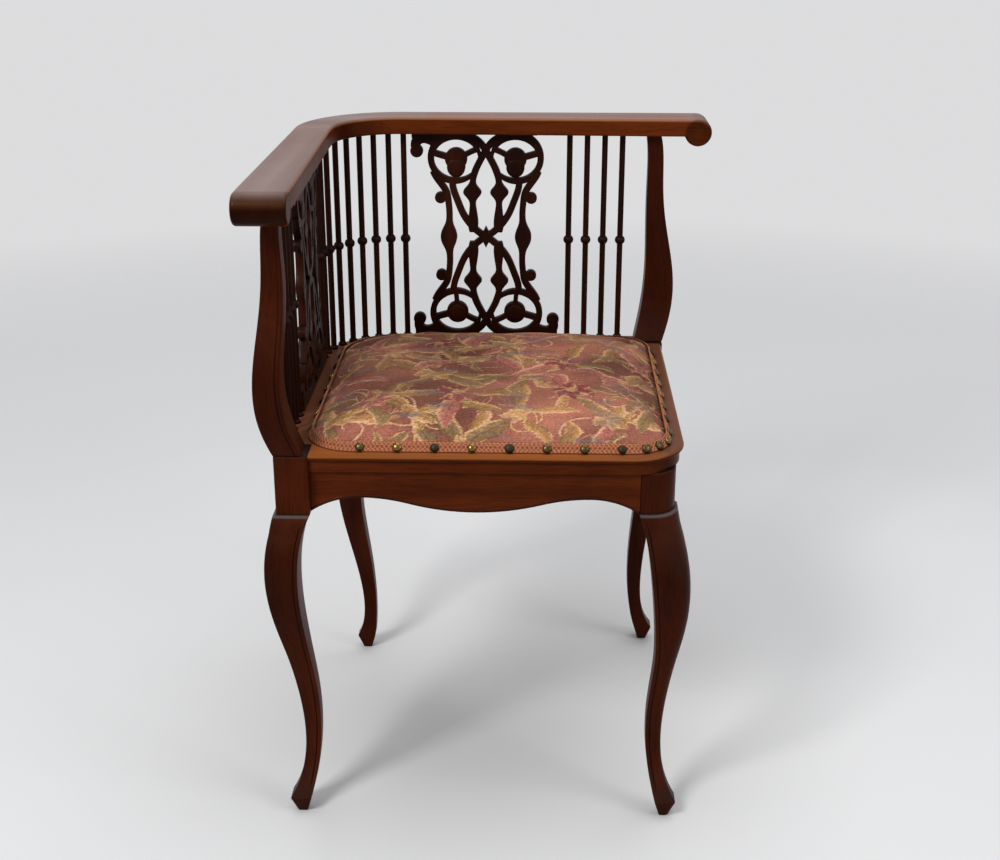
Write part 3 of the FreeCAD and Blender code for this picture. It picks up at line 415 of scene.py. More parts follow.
@dataclass(frozen=True)
class MetalFinish(Finish):
    """A metal that runs from bright to tarnished by an attribute and noise."""

    name: str
    bright: Colour
    dull: Colour
    attribute: str = "tarnish"
    spot_scale: float = 500.0
    relief: float = 0.3 * MM

    def wire(self, sheet: NodeSheet) -> None:
        """Run from bright to dull by age and spots."""
        spots = sheet.noise(sheet.place(), self.spot_scale, 4.0)
        age = sheet.mix(sheet.attribute(self.attribute), spots, 0.35)
        colour = sheet.mix(self.bright, self.dull, sheet.greys(age, (0.25, 0.0), (0.6, 1.0)))
        sheet.feed(Base_Color=colour, Metallic=0.95, Roughness=sheet.greys(age, (0.2, 0.16), (0.8, 0.5)))
        sheet.bump(spots, 0.15, self.relief)


@dataclass(frozen=True)
class PlainFinish(Finish):
    """A plain matt floor with faint unevenness, which fades out at its reach."""

    name: str
    colour: Colour
    reach: float

    def wire(self, sheet: NodeSheet) -> None:
        """Fade a faintly uneven colour out at the reach."""
        cloud = sheet.noise(sheet.place(), 1.5, 2.0)
        faint = tuple(0.97 * c for c in self.colour)
        sheet.feed(Base_Color=sheet.ramp(cloud, [(0.3, faint), (0.7, self.colour)]), Roughness=0.85)
        far = sheet.distance(sheet.place(grey(1.0 / self.reach)))
        sheet.feed(Alpha=sheet.greys(far, (0.35, 1.0), (0.95, 0.0)))


RED = (srgb(40, 12, 3), srgb(60, 20, 4), srgb(82, 31, 6))
WARM = (srgb(62, 22, 6), srgb(90, 36, 9), srgb(116, 52, 14))
DEEP = (srgb(26, 10, 6), srgb(44, 18, 10), srgb(68, 30, 16))
# Colours of the painted sheen on upward faces, which also stands for dust and dulled polish.
ARM_DUST_AND_SHEEN = (0.25, 0.182, 0.164)
BACK_DUST_AND_SHEEN = (0.258, 0.163, 0.137)
FRAME_DUST_AND_SHEEN = (0.16, 0.066, 0.036)
NOSING_DUST_AND_SHEEN = (0.33, 0.105, 0.026)
# Painted highlight along rounded edges, which also stands for worn wood.
EDGE_WEAR_AND_HIGHLIGHT = (0.36, 0.115, 0.026)
SPLAT_SHIFT = 25.75 * MM


@dataclass(frozen=True)
class Board:
    """A warm polished mahogany and the nodes that it is on."""

    name: str
    grain: Grain
    dust_and_sheen: Colour
    end_tone: float
    nodes: tuple[str, ...]
    side_dust_and_sheen: Colour | None = None
    scrolled: bool = False

    def finish(self) -> bpy.types.Material:
        """Wire the wood, darker at the end grain and on the scroll."""
        wood = WoodFinish(self.name, *WARM, self.grain, dust_and_sheen=self.dust_and_sheen, edge_wear_and_highlight=EDGE_WEAR_AND_HIGHLIGHT, dust_and_sheen_share=0.85,
                          end_tone=self.end_tone, scroll=self.scroll(), side_dust_and_sheen=self.side_dust_and_sheen)
        return wood.build()

    def scroll(self) -> Triple | None:
        """Return the middle of the scroll at the end of an arm, or nothing for another board."""
        if not self.scrolled:
            return None
        low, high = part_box(self.nodes[0])
        half = WoodFinish.scroll_width / 2
        return (high.x - half, low.y + half, high.z - half)


def coords_of(mesh: bpy.types.Mesh) -> np.ndarray:
    """Read a mesh's points as rows of three."""
    values = np.empty(len(mesh.vertices) * 3)
    mesh.vertices.foreach_get("co", values)
    return values.reshape(-1, 3)


def world_points(node: bpy.types.Object) -> np.ndarray:
    """Read a node's points in the shared frame, as rows of three."""
    matrix = np.array(node.matrix_world)
    return coords_of(node.data) @ matrix[:3, :3].T + matrix[:3, 3]


class SliceReader:
    """Reads level sections of a CAD node's mesh."""

    def __init__(self, node: bpy.types.Object) -> None:
        """Keep the node's points and edges."""
        self.points = world_points(node)
        edges = np.empty(len(node.data.edges) * 2, dtype=int)
        node.data.edges.foreach_get("vertices", edges)
        self.edges = edges.reshape(-1, 2)

    def at(self, level: float) -> np.ndarray:
        """Cut the mesh at a level.

        Args:
            level: The height in metres.

        Returns:
            The x and y of each edge that crosses the level.
        """
        first, second = self.points[self.edges[:, 0]], self.points[self.edges[:, 1]]
        hit = (first[:, 2] - level) * (second[:, 2] - level) < 0
        first, second = first[hit], second[hit]
        share = ((level - first[:, 2]) / (second[:, 2] - first[:, 2]))[:, None]
        return (first + share * (second - first))[:, :2]


def skin_faces(rows: int, columns: int, closed: bool = True, looped: bool = False) -> list[tuple[int, ...]]:
    """List the faces that join rows of points into a skin.

    Args:
        rows: How many rows there are.
        columns: How many points each row has.
        closed: Whether each row's last point joins its first.
        looped: Whether the last row joins the first.

    Returns:
        The faces as point numbers.
    """
    faces = []
    for row in range(rows if looped else rows - 1):
        below, above = row * columns, (row + 1) % rows * columns
        for column in range(columns if closed else columns - 1):
            after = (column + 1) % columns
            faces.append((below + column, below + after, above + after, above + column))
    return faces


def capped_faces(rows: int, columns: int) -> list[tuple[int, ...]]:
    """List the faces of a skin that is filled at its first and its last row."""
    first, last = range(columns), range((rows - 1) * columns, rows * columns)
    return [*skin_faces(rows, columns), tuple(first)[::-1], tuple(last)]


def make_mesh(name: str, points: np.ndarray, faces: list[tuple[int, ...]]) -> bpy.types.Mesh:
    """Build a smooth mesh with outward faces.

    Args:
        name: The mesh's name.
        points: Rows of x, y and z.
        faces: Point numbers of each face.

    Returns:
        The mesh.
    """
    mesh = bpy.data.meshes.new(name)
    mesh.from_pydata(points.tolist(), [], faces)
    work = bmesh.new()
    work.from_mesh(mesh)
    bmesh.ops.recalc_face_normals(work, faces=work.faces)
    work.to_mesh(mesh)
    work.free()
    mesh.shade_smooth()
    return mesh


def add_object(name: str, data: bpy.types.ID) -> bpy.types.Object:
    """Make an object of some data and put it in the scene."""
    made = bpy.data.objects.new(name, data)
    bpy.context.collection.objects.link(made)
    return made


def make_piece(mesh: bpy.types.Mesh, material: bpy.types.Material) -> bpy.types.Object:
    """Add a mesh to the chair.

    Args:
        mesh: The mesh, in the shared frame.
        material: Its finish.

    Returns:
        The object.
    """
    piece = add_object(mesh.name, mesh)
    mesh.materials.clear()
    mesh.materials.append(material)
    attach(piece, "root")
    LOG.info("built %s with %d points", piece.name, len(mesh.vertices))
    return piece


def thicken(piece: bpy.types.Object, thickness: float) -> None:
    """Give a sheet its thickness, half to each side."""
    layer = piece.modifiers.new("cloth", "SOLIDIFY")
    layer.thickness = thickness
    layer.offset = 0.0


def set_float(mesh: bpy.types.Mesh, name: str, values: np.ndarray) -> None:
    """Store one number for each point of a mesh."""
    mesh.attributes.new(name, "FLOAT", "POINT").data.foreach_set("value", values.astype(np.float32))


@dataclass
class SquareMember:
    """A squared upright with softened arrises and a scratched line beside its inner edges."""

    node: str
    corner: Corner
    step: float = 3.0 * MM
    arris: float = 1.6 * MM
    line_inset: float = 4.6 * MM
    line_half_width: float = 0.6 * MM
    line_depth: float = 0.8 * MM
    line_dark: float = 0.6
    chamfer: float = 0.8 * MM
    round_limit: float = 0.7
    arc_steps: int = 6
    sharp_angle: float = 50.0
    end_gap: float = 0.1 * MM

    def levels(self) -> np.ndarray:
        """List the heights of the sections."""
        low, high = self.ends()
        inner = np.arange(low + self.step, high - self.step / 2, self.step)
        return np.array([low, low + self.chamfer, *inner, high - self.chamfer, high])

    def ends(self) -> Pair:
        """Return the lowest and the highest level that shows."""
        low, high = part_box(self.node)
        return low.z, high.z

    def swell(self, level: float) -> float:
        """Say how far the outer faces stand beyond the solid at a level."""
        return 0.0

    def pinch(self, level: float) -> float:
        """Say how far all faces are eased in at a level, for a joint line."""
        low, high = self.ends()
        return self.chamfer if min(level - low, high - level) < self.chamfer / 2 else 0.0

    def line(self, level: float) -> float:
        """Say how deep the scratched line is at a level, from 0 to 1."""
        return 1.0

    def pale(self, level: float) -> float:
        """Say how strong the painted highlight is on the outer faces at a level, from 0 to 1."""
        return 0.0

    def ring(self, flat: np.ndarray, level: float) -> tuple[np.ndarray, np.ndarray]:
        """Draw one section, with outward coordinates turned to the first quarter.

        Args:
            flat: Points of the solid's section.
            level: The section's height.

        Returns:
            The points and how dark each one is.
        """
        turned = flat * self.corner.value
        low = turned.min(axis=0) + self.pinch(level)
        high = turned.max(axis=0) + self.swell(level) - self.pinch(level)
        reach = turned.sum(axis=1).max() / math.sqrt(2)
        round_off = (turned.max(axis=0).sum() / math.sqrt(2) - reach) / (math.sqrt(2) - 1)
        outer = float(np.clip(round_off, self.arris, self.round_limit * (high - low).min()))
        shape = [*self.arc(low[0], low[1], 180.0, self.arris), *self.arc(high[0], low[1], 270.0, self.arris)]
        shape += [(high[0] - d, low[1] + self.line_inset + t) for t, d in self.scratch(level)]
        shape += self.arc(high[0], high[1], 0.0, outer)
        shape += [(low[0] + self.line_inset - t, high[1] - d) for t, d in self.scratch(level)]
        shape += self.arc(low[0], high[1], 90.0, self.arris)
        points = np.array(shape) * self.corner.value
        # Painted shade: points down in the scratched line get a dark share, kept as the quirk attribute.
        dark = np.zeros(len(points))
        count, scratch = self.arc_steps + 1, len(self.scratch(level))
        for start in (2 * count, 3 * count + scratch):
            dark[start + 1: start + scratch - 1] = self.line_dark * self.line(level)
        return np.column_stack([points, np.full(len(points), level)]), dark

    def scratch(self, level: float) -> list[Pair]:
        """List the places across the scratched line and their depths."""
        half, depth = self.line_half_width, self.line_depth * self.line(level)
        return [(-2 * half, 0.0), (-half, 0.1 * depth), (0.0, depth), (half, 0.1 * depth), (2 * half, 0.0)]

    def arc(self, across: float, along: float, start: float, radius: float) -> list[np.ndarray]:
        """Draw a rounded corner.

        Args:
            across: The corner's first coordinate.
            along: The corner's second coordinate.
            start: The arc's first angle in degrees.
            radius: The corner's radius.

        Returns:
            The points of the quarter arc.
        """
        angles = np.radians(np.linspace(start, start + 90.0, self.arc_steps + 1))
        centre = np.array([across, along]) - radius * np.sign(heading(math.radians(start + 45.0)))
        return [centre + radius * heading(angle) for angle in angles]

    def build(self, material: bpy.types.Material) -> bpy.types.Object:
        """Skin the sections and let the piece stand for its node."""
        reader = SliceReader(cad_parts[self.node])
        low, high = self.ends()
        rings = []
        for level in self.levels():
            cut = float(np.clip(level, low + self.end_gap, high - self.end_gap)) + 1e-6
            rings.append(self.ring(reader.at(cut), level))
        points = np.concatenate([r[0] for r in rings])
        columns = len(rings[0][0])
        mesh = make_mesh(self.node + "_shaped", points, capped_faces(len(rings), columns))
        set_float(mesh, "quirk", np.concatenate([r[1] for r in rings]))
        # The ledge attribute carries the painted highlight on the knee ledge.
        set_float(mesh, "ledge", np.repeat([self.pale(level) for level in self.levels()], columns))
        mesh.set_sharp_from_angle(angle=math.radians(self.sharp_angle))
        piece = make_piece(mesh, material)
        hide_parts(self.node)
        return piece


@dataclass
class Leg(SquareMember):
    """A cabriole leg with its block, and a ledge where the knee starts."""

    block_low: float = 374.0 * MM
    ledge: float = 3.2 * MM
    ledge_run: float = 22.0 * MM
    line_start: float = 18.0 * MM
    line_end: float = 40.0 * MM
    ledge_lip: float = 1.3 * MM
    ledge_fade: float = 1.3
    joint_half: float = 0.2 * MM
    # Strength and band of the painted highlight on the ledge.
    highlight_strength: float = 0.26
    highlight_band: Triple = (0.7 * MM, 1.4 * MM, 3.0 * MM)

    NEAR_LEDGE = (-1.0, -0.3, 0.0, 0.3, 0.7, 1.3, 2.2, 3.5, 5.0, 7.0, 10.0, 14.0, 18.0)
    NEAR_TOE = (18.5, 19.5, 20.5, 21.5)

    def levels(self) -> np.ndarray:
        """List the heights of the sections, close together at the ledge."""
        knee = self.block_low - MM * np.array(self.NEAR_LEDGE)
        toe = MM * np.array(self.NEAR_TOE)
        return np.unique(np.round(np.concatenate([super().levels(), knee, toe]), 6))

    def swell(self, level: float) -> float:
        """Say how far the ledge stands out at a level."""
        drop = self.block_low - level
        if drop <= 0.0 or drop > self.ledge_run:
            return 0.0
        lip = float(smoothstep(drop, 0.0, self.ledge_lip))
        return self.ledge * lip * (1.0 - drop / self.ledge_run) ** self.ledge_fade

    def pinch(self, level: float) -> float:
        """Say how far the faces are eased in, also under the block."""
        if abs(level - self.block_low) < self.joint_half:
            return self.chamfer
        return super().pinch(level)

    def pale(self, level: float) -> float:
        """Say how strong the painted highlight is on the ledge under the block."""
        drop = self.block_low - level
        full, start, end = self.highlight_band
        band = smoothstep(drop, 0.0, full) * (1.0 - smoothstep(drop, start, end))
        return self.highlight_strength * float(band)

    def line(self, level: float) -> float:
        """Say how deep the scratched line is, fading at the knee and at the foot."""
        knee = smoothstep(self.block_low - level, 0.4 * self.line_start, self.line_start)
        return float(knee * smoothstep(level, 0.6 * self.line_end, self.line_end))


@dataclass
class Post(SquareMember):
    """An arm post that curves from the seat frame to the rail."""

    foot: float = 440.0 * MM
    head: float = 704.0 * MM

    def ends(self) -> Pair:
        """Return the shoulders between the tenons."""
        return self.foot, self.head

    def line(self, level: float) -> float:
        """Say how deep the scratched line is, fainter towards the rail."""
        return float(1.0 - 0.6 * smoothstep(level, self.foot, self.head))


@dataclass
class ApronBead:
    """A small bead along the lower edge of an apron's face."""

    node: str
    points: list[Pair]
    outward: list[Pair]
    radius: float = 1.7 * MM
    sink: float = 0.9 * MM
    sides: int = 10
    below: float = 0.3

    def build(self, material: bpy.types.Material) -> bpy.types.Object:
        """Sweep the bead along the apron's edge."""
        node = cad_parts[self.node]
        faces = [polygon.vertices for polygon in node.data.polygons]
        tree = BVHTree.FromPolygons([Vector(point) for point in world_points(node)], faces)
        rows = []
        for (x, y), (out_x, out_y) in zip(self.points, self.outward):
            start = Vector((x - out_x * MM, y - out_y * MM, self.below))
            hit = tree.ray_cast(start, Vector((0.0, 0.0, 1.0)))[0]
            if hit is None:
                continue
            for step in range(self.sides):
                angle = TURN * step / self.sides
                out = self.radius * math.cos(angle) - self.sink
                rise = self.radius * (1.0 + math.sin(angle))
                rows.append((x + out_x * out, y + out_y * out, hit.z + rise))
        count = len(rows) // self.sides
        mesh = make_mesh(self.node + "_bead", np.array(rows), capped_faces(count, self.sides))
        return make_piece(mesh, material)


@dataclass
class Splat:
    """A pierced splat with eased edges and carved leaf bosses."""

    node: str
    thin_axis: int
    centre: float
    ease: float = 1.1 * MM
    boss_centre: Pair = (37.0 * MM, 94.5 * MM)
    middle: float = 566.0 * MM
    boss_radius: float = 11.5 * MM
    boss_height: float = 1.7 * MM
    boss_sink: float = 0.3 * MM
    boss_rings: int = 7
    boss_spokes: int = 30
    sharp_angle: float = 35.0

    def flat_axis(self) -> int:
        """Return the level axis that the splat lies along."""
        return 1 - self.thin_axis

    def outlines(self) -> list[list[Pair]]:
        """Trace the edges of the splat's face.

        Returns:
            Closed loops of places along the splat and up.
        """
        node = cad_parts[self.node]
        points = world_points(node)
        face_level = points[:, self.thin_axis].max()
        on_face = points[:, self.thin_axis] > face_level - 0.01 * MM
        keys = [tuple(k) for k in np.round(points[:, [self.flat_axis(), 2]] / (0.002 * MM)).astype(int)]
        uses: dict[tuple, int] = {}
        for polygon in node.data.polygons:
            corners = list(polygon.vertices)
            if not on_face[corners].all():
                continue
            for first, second in zip(corners, corners[1:] + corners[:1]):
                edge = tuple(sorted((keys[first], keys[second])))
                uses[edge] = uses.get(edge, 0) + 1
        places = {k: tuple(p) for k, p in zip(keys, points[:, [self.flat_axis(), 2]].tolist())}
        return [[places[k] for k in loop] for loop in chain([e for e, n in uses.items() if n == 1])]

    def build(self, material: bpy.types.Material) -> bpy.types.Object:
        """Fill the outlines with eased edges and add the bosses."""
        low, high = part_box(self.node)
        depth = high[self.thin_axis] - low[self.thin_axis]
        middle = (high[self.thin_axis] + low[self.thin_axis]) / 2
        mesh = eased_plate(self.node + "_carved", self.outlines(), depth, self.ease)
        turn = Matrix.Identity(4)
        turn[self.thin_axis].xyzw = (0.0, 0.0, 1.0, middle)
        turn[self.flat_axis()].xyzw = (1.0, 0.0, 0.0, 0.0)
        turn[2].xyzw = (0.0, 1.0, 0.0, 0.0)
        mesh.transform(turn)
        work = bmesh.new()
        work.from_mesh(mesh)
        for side, across, up in product((-1, 1), repeat=3):
            self.add_boss(work, (across, up), middle + side * depth / 2, side)
        bmesh.ops.recalc_face_normals(work, faces=work.faces)
        work.to_mesh(mesh)
        work.free()
        mesh.shade_smooth()
        mesh.set_sharp_from_angle(angle=math.radians(self.sharp_angle))
        piece = make_piece(mesh, material)
        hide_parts(self.node)
        return piece

    def add_boss(self, work: bmesh.types.BMesh, quarter: tuple[int, int], face: float, side: int) -> None:
        """Add one carved leaf to the splat.

        Args:
            work: The mesh being built.
            quarter: Signs of the boss's place across and up.
            face: The level of the splat's face.
            side: The sign of the face's outward direction.
        """
        rings, spokes = self.boss_rings, self.boss_spokes
        middle = self.centre + quarter[0] * self.boss_centre[0]
        level = self.middle + quarter[1] * self.boss_centre[1]
        grid = []
        for ring in range(rings):
            share = 1.0 - ring / rings
            for spoke in range(spokes):
                angle = TURN * spoke / spokes
                radius = self.boss_radius * share * (1.0 + 0.09 * math.sin(angle) ** 3 * -quarter[1])
                vein = 0.3 * abs(math.sin(angle)) ** 14 * share
                dome = math.sqrt(max(0.0, 1.0 - share * share)) * (1.0 - vein)
                lift = self.boss_height * dome - self.boss_sink
                place = [0.0, 0.0, level + radius * math.sin(angle)]
                place[self.flat_axis()] = middle + radius * math.cos(angle)
                place[self.thin_axis] = face + side * lift
                grid.append(work.verts.new(place))
        for face in skin_faces(rings, spokes):
            work.faces.new([grid[number] for number in face])
        work.faces.new(grid[(rings - 1) * spokes:])


def chain(edges: list[tuple]) -> list[list[tuple]]:
    """Join loose edges end to end.

    Args:
        edges: Pairs of keys.

    Returns:
        Closed loops of keys.
    """
    near: dict[tuple, list] = {}
    for first, second in edges:
        near.setdefault(first, []).append(second)
        near.setdefault(second, []).append(first)
    loops = []
    while near:
        start = next(iter(near))
        loop, here = [start], near[start].pop()
        near[here].remove(start)
        while here != start:
            loop.append(here)
            after = near[here].pop()
            near[after].remove(here)
            here = after
        near = {key: ends for key, ends in near.items() if ends}
        loops.append(loop)
    return loops


def eased_plate(name: str, loops: list[list[Pair]], depth: float, ease: float) -> bpy.types.Mesh:
    """Fill loops as a plate with rounded edges.

    Args:
        name: The mesh's name.
        loops: Closed outlines and holes.
        depth: The plate's thickness.
        ease: The radius of its edges.

    Returns:
        The mesh, with the plate's thickness along z.
    """
    curve = bpy.data.curves.new(name, "CURVE")
    curve.dimensions = "2D"
    curve.fill_mode = "BOTH"
    curve.extrude = depth / 2 - ease
    curve.bevel_depth = ease
    curve.bevel_resolution = 2
    curve.offset = -ease
    for loop in loops:
        spline = curve.splines.new("POLY")
        spline.points.add(len(loop) - 1)
        for point, (across, up) in zip(spline.points, loop):
            point.co = (across, up, 0.0, 1.0)
        spline.use_cyclic_u = True
    holder = add_object(name, curve)
    ready = holder.evaluated_get(bpy.context.evaluated_depsgraph_get())
    mesh = bpy.data.meshes.new_from_object(ready)
    mesh.name = name
    bpy.data.objects.remove(holder)
    bpy.data.curves.remove(curve)
    return mesh


@dataclass
class SeatOutline:
    """The seat pad's rounded outline, as a closed path."""

    front_right: float = 46.0 * MM
    front_left: float = 52.0 * MM
    back_right: float = 52.0 * MM
    back_left: float = 76.0 * MM

    def path(self, step: float, inset: float = 0.0) -> tuple[np.ndarray, np.ndarray]:
        """Walk round the outline.

        Args:
            step: The spacing of the points.
            inset: How far inside the outline to walk.

        Returns:
            The points and their outward directions.
        """
        low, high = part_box("seat_pad")
        corners = [(high.x, low.y, self.front_right, -90.0), (high.x, high.y, self.back_right, 0.0),
                   (low.x, high.y, self.back_left, 90.0), (low.x, low.y, self.front_left, 180.0)]
        points, outward = [], []
        for x, y, radius, start in corners:
            angles = np.radians(np.linspace(start, start + 90.0, 60))
            centre = (x - math.copysign(radius, x), y - math.copysign(radius, y))
            way = np.column_stack([np.cos(angles), np.sin(angles)])
            points.append(np.array(centre) + (radius - inset) * way)
            outward.append(way)
        return resample(np.concatenate(points), np.concatenate(outward), step)


def resample(points: np.ndarray, outward: np.ndarray, step: float) -> tuple[np.ndarray, np.ndarray]:
    """Space the points of a closed path evenly.

    Args:
        points: The path's points.
        outward: Their outward directions.
        step: The spacing wanted.

    Returns:
        The new points and directions.
    """
    points = np.vstack([points, points[:1]])
    outward = np.vstack([outward, outward[:1]])
    far = np.concatenate([[0.0], np.cumsum(np.linalg.norm(np.diff(points, axis=0), axis=1))])
    at = np.linspace(0.0, far[-1], int(round(far[-1] / step)), endpoint=False)
    place = np.column_stack([np.interp(at, far, points[:, i]) for i in range(2)])
    way = np.column_stack([np.interp(at, far, outward[:, i]) for i in range(2)])
    return place, way / np.linalg.norm(way, axis=1, keepdims=True)


@dataclass
class Nails:
    """Domed brass nails round the seat, some bright and some tarnished."""

    outline: SeatOutline
    radius: float = 4.9 * MM
    height: float = 2.5 * MM
    spokes: int = 22
    rings: int = 7
    tilt: float = 0.6
    size_change: float = 0.04
    rim_drop: float = 1.2 * MM
    ages: Triple = (0.15, 0.45, 0.9)
    age_shares: Triple = (0.25, 0.35, 0.4)
    seed: int = 11

    def heads(self) -> list[tuple[Vector, Vector]]:
        """Find where the CAD nails are.

        Returns:
            The top of each head and its outward axis.
        """
        work = bmesh.new()
        work.from_mesh(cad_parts["seat_nails"].data)
        bmesh.ops.remove_doubles(work, verts=work.verts, dist=1e-6)
        path, outward = self.outline.path(1.0 * MM)
        left, heads = set(work.verts), []
        while left:
            island, front = set(), [left.pop()]
            while front:
                vert = front.pop()
                island.add(vert)
                front += [other for edge in vert.link_edges for other in edge.verts if other in left]
                left.difference_update(front)
            middle = sum((v.co for v in island), Vector()) / len(island)
            way = outward[np.linalg.norm(path - np.array(middle.xy), axis=1).argmin()]
            axis = Vector((way[0], way[1], self.tilt)).normalized()
            heads.append((max((v.co.copy() for v in island), key=axis.dot), axis))
        work.free()
        return sorted(heads, key=lambda head: (round(head[0].y, 4), head[0].x))

    def build(self, material: bpy.types.Material) -> bpy.types.Object:
        """Turn each head as a dome with a rolled rim."""
        rng = np.random.default_rng(self.seed)
        points, faces, ages = [], [], []
        for top, axis in self.heads():
            side = axis.orthogonal().normalized()
            other = axis.cross(side)
            base = top - axis * self.height
            start, size = len(points), 1.0 + rng.uniform(-self.size_change, self.size_change)
            for ring in range(self.rings + 1):
                lean = math.pi / 2 * ring / self.rings
                reach = self.radius * size * math.sin(lean) ** 0.9
                lift = self.height * math.cos(lean) - (self.rim_drop if ring == self.rings else 0.0)
                for spoke in range(self.spokes):
                    angle = TURN * spoke / self.spokes
                    way = side * math.cos(angle) + other * math.sin(angle)
                    points.append(base + axis * lift + way * max(reach, 0.02 * MM))
            skin = capped_faces(self.rings + 1, self.spokes)
            faces += [tuple(start + n for n in face) for face in skin]
            ages += [rng.choice(self.ages, p=self.age_shares)] * (len(points) - start)
        mesh = make_mesh("seat_nail_heads", np.array(points), faces)
        set_float(mesh, "tarnish", np.array(ages))
        piece = make_piece(mesh, material)
        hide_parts("seat_nails")
        return piece


@dataclass
class Gimp:
    """A woven braid round the edge of the seat, with corded edges and a zigzag thread."""

    outline: SeatOutline
    step: float = 0.9 * MM
    rise: float = 10.0 * MM
    lean_in: float = 6.0 * MM
    base: float = 0.7 * MM
    cord: float = 1.1 * MM
    cord_pitch: float = 4.4 * MM
    cord_place: float = 0.12
    cord_width: float = 0.07
    zigzag: float = 9.5 * MM
    zigzag_swing: float = 0.24
    thread_width: float = 0.06
    columns: int = 17

    def height(self, along: np.ndarray, across: float) -> np.ndarray:
        """Say how thick the braid is.

        Args:
            along: Places along the braid.
            across: The share of its width, from 0 to 1.

        Returns:
            The thickness at each place.
        """
        edge = min(across, 1.0 - across)
        twist = 0.5 + 0.5 * np.cos(TURN * (along / self.cord_pitch + 2.0 * across))
        cords = self.cord * math.exp(-((edge - self.cord_place) / self.cord_width) ** 2) * twist
        swing = self.zigzag_swing * np.sin(TURN * along / self.zigzag)
        middles = (0.5 + swing, 0.5 - swing)
        crossed = [np.exp(-((across - middle) / self.thread_width) ** 2) for middle in middles]
        threads = 0.8 * self.cord * np.minimum(crossed[0] + crossed[1], 1.1)
        return (self.base + cords + threads) * (1.0 if edge > 0.0 else 0.0)

    def build(self, material: bpy.types.Material) -> bpy.types.Object:
        """Lay the braid on the pad's edge."""
        low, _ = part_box("seat_gimp")
        path, outward = self.outline.path(self.step)
        along = np.arange(len(path)) * self.step
        slope = math.hypot(self.rise, self.lean_in)
        rows, shade = [], []
        for column in range(self.columns):
            across = column / (self.columns - 1)
            thick = self.height(along, across)
            out = -self.lean_in * across + thick * self.rise / slope
            lift = self.rise * across + thick * self.lean_in / slope
            spot = path + outward * out[:, None]
            rows.append(np.column_stack([spot, low.z + lift]))
            # Painted shade: the thinner the braid, the darker its colour.
            shade.append(np.clip((thick - 0.8 * self.base) / (0.75 * self.cord), 0.0, 1.0) ** 0.8)
        points = np.stack(rows, axis=1).reshape(-1, 3)
        mesh = make_mesh("seat_braid", points, skin_faces(len(path), self.columns, closed=False, looped=True))
        set_float(mesh, "thread", np.stack(shade, axis=1).ravel())
        piece = make_piece(mesh, material)
        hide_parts("seat_gimp")
        return piece


class Hue(Enum):
    """Thread colours of the tapestry, as seen on screen."""

    ROSE = (156, 104, 88)
    BROWN = (122, 80, 66)
    SALMON = (194, 130, 106)
    GOLD = (200, 160, 100)
    STRAW = (226, 192, 134)
    MUSTARD = (166, 126, 72)
    OLIVE = (134, 112, 72)
    SAGE = (158, 140, 104)
    PLUM = (130, 62, 68)
    MAUVE = (168, 98, 96)
    PINK = (212, 146, 124)
    CREAM = (234, 198, 160)
    SLATE = (124, 116, 116)

    def rgb(self) -> np.ndarray:
        """Return the colour from 0 to 1."""
        return np.array(self.value) / 255.0


@dataclass(frozen=True)
class Yarns:
    """The yarns of one motif: its light part, its dark part and its outline."""

    light: Hue
    dark: Hue
    line: Hue


